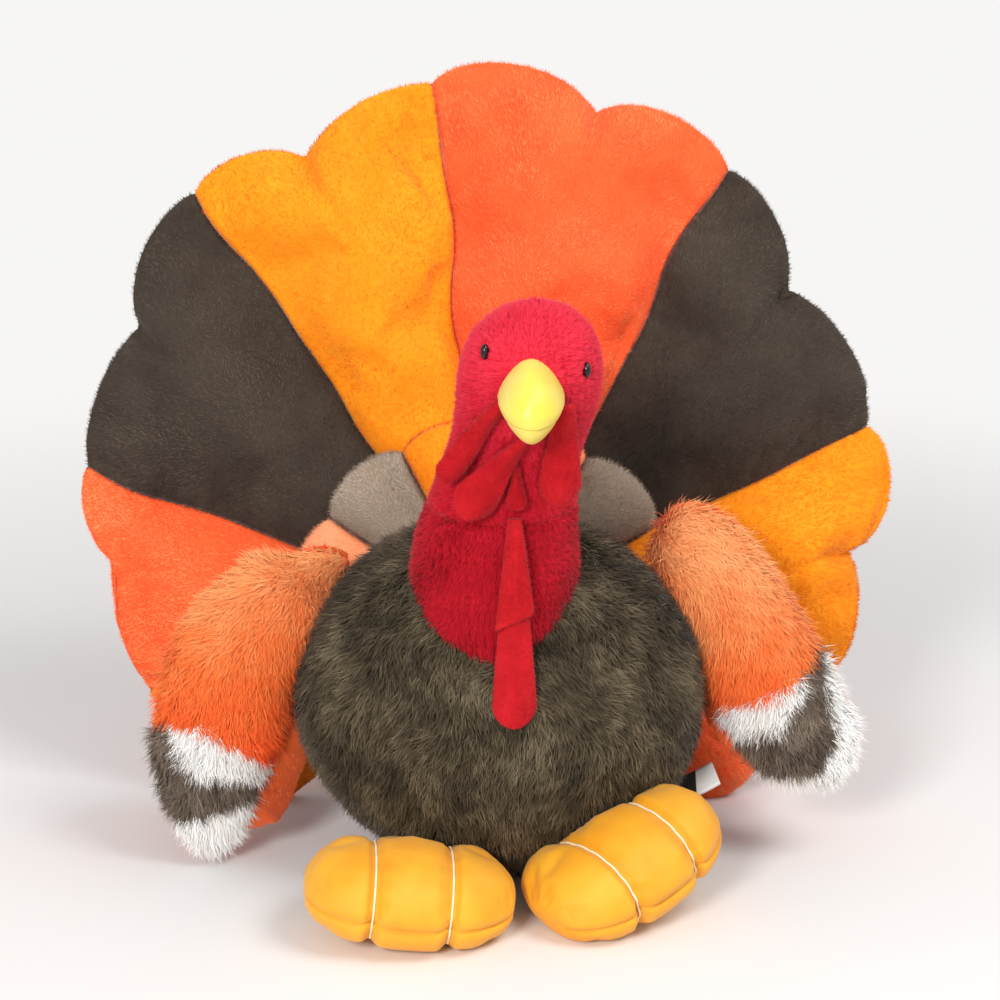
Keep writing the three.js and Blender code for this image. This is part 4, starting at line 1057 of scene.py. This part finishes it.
# Feet
def foot_points(share, turn, grow=0.0):
    """A foot in its own place: across its width each section is an oval, fuller in front, that
    narrows to the sides, swells between its toe grooves and is drawn in at them with small gathers.
    The seam between upper and sole is a crease along the section's foremost line."""
    full = np.clip(1 - np.abs(share) ** 2.4, 0, 1) ** (1 / 2.4)
    shown = np.clip(full * 2, 0, 1)
    beside = np.abs(share) - GROOVE_SHARE
    groove = TOE_GROOVE * bell(beside, GROOVE_WIDTH)
    gathers = 0.5 * MM * np.sin(17 * turn) * bell(beside, 2 * GROOVE_WIDTH) * shown
    away = np.minimum(np.abs(turn - FOOT_SEAM), np.abs(turn - (2 * math.pi + FOOT_SEAM)))
    crease = 1.3 * MM * bell(away, 0.028) * shown + 0.5 * MM * bell(away, 0.12)
    inward = groove - gathers + (crease if grow == 0 else 0) - grow
    half_length = np.maximum(FOOT_LENGTH / 2 * full - inward, 0)
    half_height = np.maximum(FOOT_HEIGHT / 2 * full - inward / 2 + (grow / 2), 0)
    y = -FOOT_LENGTH / 2 - half_length * np.cos(turn)
    z = FOOT_HEIGHT / 2 + half_height * np.sin(turn) * (1 + 0.22 * np.cos(turn))
    return np.stack([share * FOOT_WIDTH / 2 + 0 * turn, y, z], -1)


def swollen_foot(share, turn):
    """A foot whose cloth the filling blows out between its toe grooves, its seam and its sole."""
    own = foot_points(share, turn)
    ring = np.concatenate([own, own[:, :1]], 1)
    coarse = ring[::3, ::3]
    at_share, at_turn = np.abs(share[::3]), np.append(turn, turn[:, :1] + 2 * math.pi)[None, ::3]
    held = (np.abs(at_share - GROOVE_SHARE) < 0.035) | (np.abs(at_turn - FOOT_SEAM - 2 * math.pi) < 0.08)
    held = held | (coarse[..., 2] < 8 * MM) | (at_share > 0.96)
    swell = filled_out([coarse], [held], FOOT_PRESSURE, FOOT_SWELL)[0] - coarse
    return own + finer(eased(swell), *ring.shape[:2])[:, :-1]


def in_place(points, heel, turn, roll, lift):
    """A foot's points rolled, lifted and turned, in degrees, set at its heel and seated."""
    made = turned(points, 1, math.radians(-roll))
    made[..., 2] += lift
    made = turned(made, 2, math.radians(turn))
    made[..., :2] += heel
    return seated(made)


def tube(name, path, radius):
    """A round cord along a path: rings square to the path, turned with one fixed direction."""
    along = unit(np.gradient(path, axis=0))
    side = unit(np.cross(along, np.array([0.3, 0.1, 1.0])))
    other = np.cross(along, side)
    turn = whole_turn(8)[..., None]
    rings = path[:, None] + radius * (side[:, None] * np.cos(turn) + other[:, None] * np.sin(turn))
    return closed_skin(name, rings)


# Across a foot, and round it: finer by the seam
foot_share = np.sin(np.linspace(-math.pi / 2, math.pi / 2, 141))[1:-1][:, None]
near_seam = FOOT_SEAM + np.linspace(-0.07, 0.07, 11) + 2 * math.pi
foot_turn = np.sort(np.concatenate([np.linspace(0.05, 2 * math.pi - 0.35, 88), near_seam]))[None, :]
thread_turn = np.radians(np.linspace(-35, 125, 60))
for label, spot in FEET.items():
    foot_name = f"foot_{label}"
    own = swollen_foot(foot_share, foot_turn)
    lift = -FOOT_SINK - turned(own, 1, math.radians(-spot["roll"]))[..., 2].min()
    foot = closed_skin(f"{foot_name}_cover", in_place(own, lift=lift, **spot))
    stands_for = [f"{foot_name}_upper", f"{foot_name}_sole"]
    dress(foot, foot_name, "yellow_knit", YELLOW_KNIT, stands_for, fill=0.8)
    for number, side in ((1, -1), (2, 1)):
        line = foot_points(side * GROOVE_SHARE, thread_turn, THREAD_RADIUS + THREAD_LIFT)
        path = in_place(line, lift=lift, **spot)
        node = f"{foot_name}_thread_{number}"
        dress(tube(f"{node}_cord", path, THREAD_RADIUS), foot_name, "cream_thread", THREAD, [node])

# Wings: rows of the middle line's side, depth and height, half width, half thickness and slant
WING_SCALE = np.array([WING_SPAN, WING_SPAN, WING_HEIGHT, WING_SPAN, WING_THICKNESS, 1])
WING_ROWS = {
    "left": np.array([
        [0.488, 0.15, 1, 0.175, 0.3, 0],
        [0.61, 0.116, 0.977, 0.209, 0.43, 0],
        [0.72, 0.07, 0.88, 0.22, 0.5, 0],
        [0.89, 0.017, 0.705, 0.235, 0.5, 0.1],
        [0.97, -0.04, 0.511, 0.235, 0.43, 0.3],
        [1.02, -0.07, 0.36, 0.2, 0.36, 0.5],
        [1.03, -0.093, 0.25, 0.16, 0.28, 0.6],
        [1.027, -0.11, 0.13, 0.1, 0.18, 0.6],
        [1.02, -0.116, 0.04, 0, 0, 0],
    ]) * WING_SCALE,
    "right": np.array([
        [0.488, 0.15, 1.03, 0.175, 0.3, 0],
        [0.64, 0.087, 1.017, 0.215, 0.43, 0],
        [0.783, 0.058, 0.885, 0.2, 0.5, 0],
        [0.89, 0.023, 0.693, 0.215, 0.5, 0],
        [0.985, -0.017, 0.528, 0.21, 0.43, 0],
        [1.06, -0.04, 0.41, 0.19, 0.36, 0],
        [1.1, -0.052, 0.33, 0.13, 0.25, 0],
        [1.115, -0.058, 0.27, 0, 0, 0],
    ]) * WING_SCALE,
}
# Shares of a wing's length: where its cloth begins and ends, then the share of its own width that
# it has near its root, and how much wider its lining is
WING_START = {"left": 0.03, "right": 0.045}
WING_END = 0.985
WING_ROOTS = {
    "left": ([0.03, 0.05, 0.08, 0.14, 0.21], [0.2, 0.3, 0.4, 0.55, 1]),
    "right": ([0.045, 0.06, 0.08, 0.1, 0.13], [0.25, 0.5, 0.75, 0.9, 1]),
}
LINING_WIDER = {
    "left": ([0.3, 0.45, 0.58, 0.68, 0.74, 0.79, 0.83, 0.87], np.array([0, 9, 18, 20, 18, 13, 7, 0]) * MM),
    "right": ([0.4, 0.55, 0.65, 0.8, 0.9], np.array([0, 5, 9, 6, 0]) * MM),
}


def wing_line(side, shares):
    """Rows of a wing's middle line at shares of its length, its direction there, and the two
    directions square to it: towards the front, and across, slanted like the row."""
    out = -1 if side == "left" else 1
    rows = WING_ROWS[side] * np.array([out, 1, 1, 1, 1, 1])
    at, ahead, before = (evenly(rows, np.clip(shares + step, 0, 1)) for step in (0, 1e-3, -1e-3))
    along = unit((ahead - before)[:, :3])
    front = unit(np.array([0.0, -1.0, 0.0]) + along * along[:, 1:2])
    across = np.cross(along, front) + along * (out * at[:, 5:6])
    return at, along, front, across


def wing_rings(side, first, last, face, count, sink):
    """Half ovals square to the wing's middle line, slanted towards the body: the front half where
    face is 1, and where it is -1 the back half, wider on the body's side. The wing narrows to its
    root, and the cloth lies below the ends of its pile by the sink."""
    out = -1 if side == "left" else 1
    shares = np.linspace(first, last, count)
    at, _, front, across = wing_line(side, shares)
    narrow = np.interp(shares, *WING_ROOTS[side])[:, None]
    turn = np.linspace(0, math.pi, 28)[None, :]
    wider = np.interp(shares, *LINING_WIDER[side])[:, None] if face < 0 else 0
    width = np.maximum(at[:, 3:4] * narrow - sink, 1.5 * MM) + wider * np.clip(out * np.cos(turn) * 4, 0, 1)
    depth = face * (0.2 * MM + np.maximum(at[:, 4:5] * narrow - 0.8 * sink, 1 * MM) * np.sin(turn))
    return (
        at[:, None, :3]
        + across[:, None] * (width * np.cos(turn))[..., None]
        + front[:, None] * depth[..., None]
    )


def on_wing(side, points):
    """For each point the nearest share of the wing's middle line, how far across it lies in half
    widths, positive towards the body, and the line's direction."""
    shares = np.linspace(0, 1, 90)
    at, along, _, across = wing_line(side, shares)
    nearest = ((points[:, None, [0, 2]] - at[None, :, [0, 2]]) ** 2).sum(-1).argmin(1)
    from_line = points - at[nearest, :3]
    inwards = -1 if side == "right" else 1
    width = np.maximum(at[nearest, 3] - WING_PILE, 4 * MM)
    place = (from_line * unit(across[nearest])).sum(1) / width
    share = shares[nearest] + (from_line * along[nearest]).sum(1) / WING_SPAN
    return share, place * np.sign(across[nearest, 0]) * inwards, along[nearest]


# Where the colours of a wing's fur meet: shares of its length at places across it, from -1 on the
# outer edge to 1 on the body's side. White begins where orange ends, brown where white ends.
BAND_ROOTS = -0.035  # the roots of a colour start this share above the line where it shows
BAND_LINES = {
    "left": (
        ([-1.2, -0.65, -0.15, 0.8], [0.71, 0.68, 0.67, 0.7]),
        ([-0.7, -0.4, 0, 0.75], [0.66, 0.75, 0.8, 0.77]),
        ([-1, 0, 0.7, 1], [0.91, 0.91, 0.87, 0.86]),
    ),
    "right": (
        ([-1, -0.77, 0.2, 0.65], [0.6, 0.65, 0.69, 0.65]),
        ([-0.7, -0.5, 0.2, 0.9], [0.6, 0.7, 0.79, 0.75]),
        ([-1.05, -0.85, -0.6, 0, 0.45, 1], [0.6, 0.7, 0.88, 0.95, 0.94, 0.88]),
    ),
}


def band_at(side, points):
    """The colour of a root on a wing: 0 orange, 1 white, 2 brown, 3 white tip."""
    share, place, _ = on_wing(side, points)
    past = [share > np.interp(place, *line) + BAND_ROOTS for line in BAND_LINES[side]]
    return np.select([~past[0], ~past[1], ~past[2]], [0, 1, 2], 3)


def down_the_wing(side):
    """Combed along the wing and a little towards its edges."""

    def comb(points):
        share, place, along = on_wing(side, points)
        spread = np.array([-1 if side == "right" else 1, 0, 0]) * place[:, None]
        onward = np.clip((share - 0.02) / 0.12, -1, 1)[:, None]
        return along * onward + 0.35 * spread + np.array([0, 0, -0.25]) * onward

    return comb


def in_band(side, number):
    """Which roots on a wing belong to a band of its front."""
    return lambda points, normal: (normal[:, 1] < 0.45) & (band_at(side, points) == number)


def wing_pad(side, label, cloth, fill, ends, **shape):
    """Dresses a piece of a wing's cloth between two shares of its length."""
    node = f"wing_{side}_{label}"
    pad = closed_skin(f"{node}_pad", seated(wing_rings(side, *ends, **shape)))
    return dress(pad, f"wing_{side}", SLOT_OF[node], cloth, [node], fill=fill)


# Bands of a wing: name, where its cloth ends, rings, cloth, hair and the hair's length
WING_BANDS = [
    ("fur", 0.655, 40, WING_CLOTH, WING_HAIR, 13.5 * MM),
    ("white_band", 0.745, 12, WHITE_CLOTH, WHITE_HAIR, 14 * MM),
    ("brown_band", 0.86, 12, BAND_CLOTH, BAND_HAIR, 14 * MM),
    ("tip_fur", WING_END, 12, WHITE_CLOTH, WHITE_HAIR, 14 * MM),
]
for side in ("left", "right"):
    wing, pads, start = f"wing_{side}", [], WING_START[side]
    for label, end, count, cloth, *_ in WING_BANDS:
        ends = (start, end)
        pads.append(wing_pad(side, label, cloth, 0.5, ends, face=1, count=count, sink=WING_PILE))
        start = end
    for number, (label, *_, hair, length) in enumerate(WING_BANDS):
        node = f"{wing}_{label}"
        pile(
            f"{node}_hair", pads, (wing, SLOT_OF[node], hair), 76000, length, width=0.55 * MM,
            comb=down_the_wing(side), lift=27, seed=70 + number + 10 * (side == "left"),
            keep=in_band(side, number), stray=0.36, swirl=0.5, tuft=7 * MM,
        )
    ends = (WING_START[side], WING_END)
    pad = wing_pad(side, "lining", LINING_CLOTH, 0.6, ends, face=-1, count=70, sink=1.2 * MM)
    node = f"{wing}_lining"
    pile(
        f"{node}_pile", [pad], (wing, SLOT_OF[node], LINING_HAIR), 28000, length=2.6 * MM,
        width=0.65 * MM, comb=DOWN, lift=35, seed=90 + (side == "left"), stray=0.4, bent=False,
        keep=lambda points, normal: points[:, 2] > 1 * MM, swirl=0.5, tuft=5 * MM,
    )


# Tag
def tag_ribbon():
    """A ribbon folded in two: its middle line runs out, turns half a circle and comes back, with a
    slight wave along it. Each ring is the ribbon's flat oblong section square to that line, and the
    whole is tilted like the CAD tag."""
    low, high = corners("sewn_tag")
    run = np.concatenate([np.linspace(0, 1, 24), np.ones(9), np.linspace(1, 0, 24)])
    half_turn = np.linspace(math.pi / 2, -math.pi / 2, 9)
    bend = np.concatenate([np.full(24, math.pi / 2), half_turn, np.full(24, -math.pi / 2)])
    x = low[0] + TAG_FOLD + (TAG_LENGTH - TAG_FOLD) * run + TAG_FOLD * np.cos(bend)
    wave = 0.7 * MM * np.sin(4 * run) * run
    across = np.linspace(-TAG_WIDTH / 2, TAG_WIDTH / 2, 10)
    sides = []
    for offset, order in ((TAG_CLOTH / 2, 1), (-TAG_CLOTH / 2, -1)):
        z = np.broadcast_to(across[::order], (len(run), len(across)))
        own_x = (x + offset * np.cos(bend))[:, None] + 0 * z
        own_y = (TAG_FOLD * np.sin(bend) + wave + offset * np.sin(bend))[:, None] + 0 * z
        sides.append(np.stack([own_x, own_y, z], -1))
    points = turned(np.concatenate(sides, 1), 0, math.radians(TAG_TURN)) - np.array([low[0], 0, 0])
    points = turned(points, 1, math.radians(-TAG_RISE))
    points += np.array([low[0], (low[1] + high[1]) / 2, low[2]]) + TAG_MOVED
    return closed_skin("sewn_tag_ribbon", points)


tag = dress(tag_ribbon(), "body", "tag_satin", TAG, ["sewn_tag"])

# Room, light and camera
FLOOR_CLEAR = (0.45, 1.3)  # distances at which the floor starts and ends fading


def floor_disc(radius, rings=11, around=64):
    """A round floor: rings of equal angle at even steps from its middle."""
    step = np.linspace(0, 1, rings + 1)[1:, None]
    turn = whole_turn(around)
    points = np.stack([radius * step * np.cos(turn), radius * step * np.sin(turn), 0 * step * turn], -1)
    points = np.concatenate([points.reshape(-1, 3), np.zeros((1, 3))])
    hub = [[j, (j + 1) % around, rings * around] for j in range(around)]
    return new_mesh("floor", points, grid_faces(rings, around, True) + hub)


def floor_finish():
    """Pale paint that fades out with its distance from the middle, so the floor has no edge."""
    made = Finish("floor paint", 0.85, specular=0.15)
    made.colour(linear("#e8e6e3"))
    reach = made.node("ShaderNodeVectorMath", {0: made.place}, operation="LENGTH").outputs["Value"]
    start, end = FLOOR_CLEAR
    inputs = {"Value": reach, "From Min": start, "From Max": end, "To Min": 1.0, "To Max": 0.0}
    fade = made.node("ShaderNodeMapRange", inputs, interpolation_type="SMOOTHSTEP")
    made.shade({"Alpha": fade.outputs["Result"]})
    return made.material


floor = floor_disc(1.4)
floor.data.materials.append(floor_finish())

LAMP_TARGET = np.array([0, 0, 0.2])


def lamp(name, place, size, power):
    """A square area light that faces the toy."""
    made = placed(name, bpy.data.lights.new(name, "AREA"))
    made.data.size = size
    made.data.energy = power
    made.location = place
    aim = LAMP_TARGET - np.array(place)
    made.rotation_euler = (math.acos(-aim[2] / np.linalg.norm(aim)), 0, math.atan2(-aim[0], aim[1]))


lamp("key", (-0.8, -2.2, 1.25), 0.6, 45)
lamp("fill", (1.2, -0.8, 1.9), 1.0, 24)

world = bpy.data.worlds.new("room")
bpy.context.scene.world = world
room = Nodes(world)
around = room.feed(room.nodes["Background"], {"Color": linear("#fbfbff"), "Strength": 0.62})
behind = room.node("ShaderNodeBackground", {"Color": linear("#f7f6f5")})
seen = room.node("ShaderNodeLightPath").outputs["Is Camera Ray"]
mixed = room.node("ShaderNodeMixShader", {"Fac": seen, 1: around.outputs[0], 2: behind.outputs[0]})
room.feed(room.nodes["World Output"], {"Surface": mixed.outputs[0]})

CAMERA_PITCH = math.radians(16)
CAMERA_DISTANCE = 1.5
CAMERA_AIM = np.array([0, 0, 0.2202567])
camera = placed("camera", bpy.data.cameras.new("camera"))
camera.data.sensor_width = 36
camera.data.lens = 92.88
back_and_up = np.array([0, -math.cos(CAMERA_PITCH), math.sin(CAMERA_PITCH)])
camera.location = CAMERA_AIM + CAMERA_DISTANCE * back_and_up
camera.rotation_euler = (math.pi / 2 - CAMERA_PITCH, 0, 0)
bpy.context.scene.camera = camera
bpy.context.scene.view_settings.view_transform = "Standard"
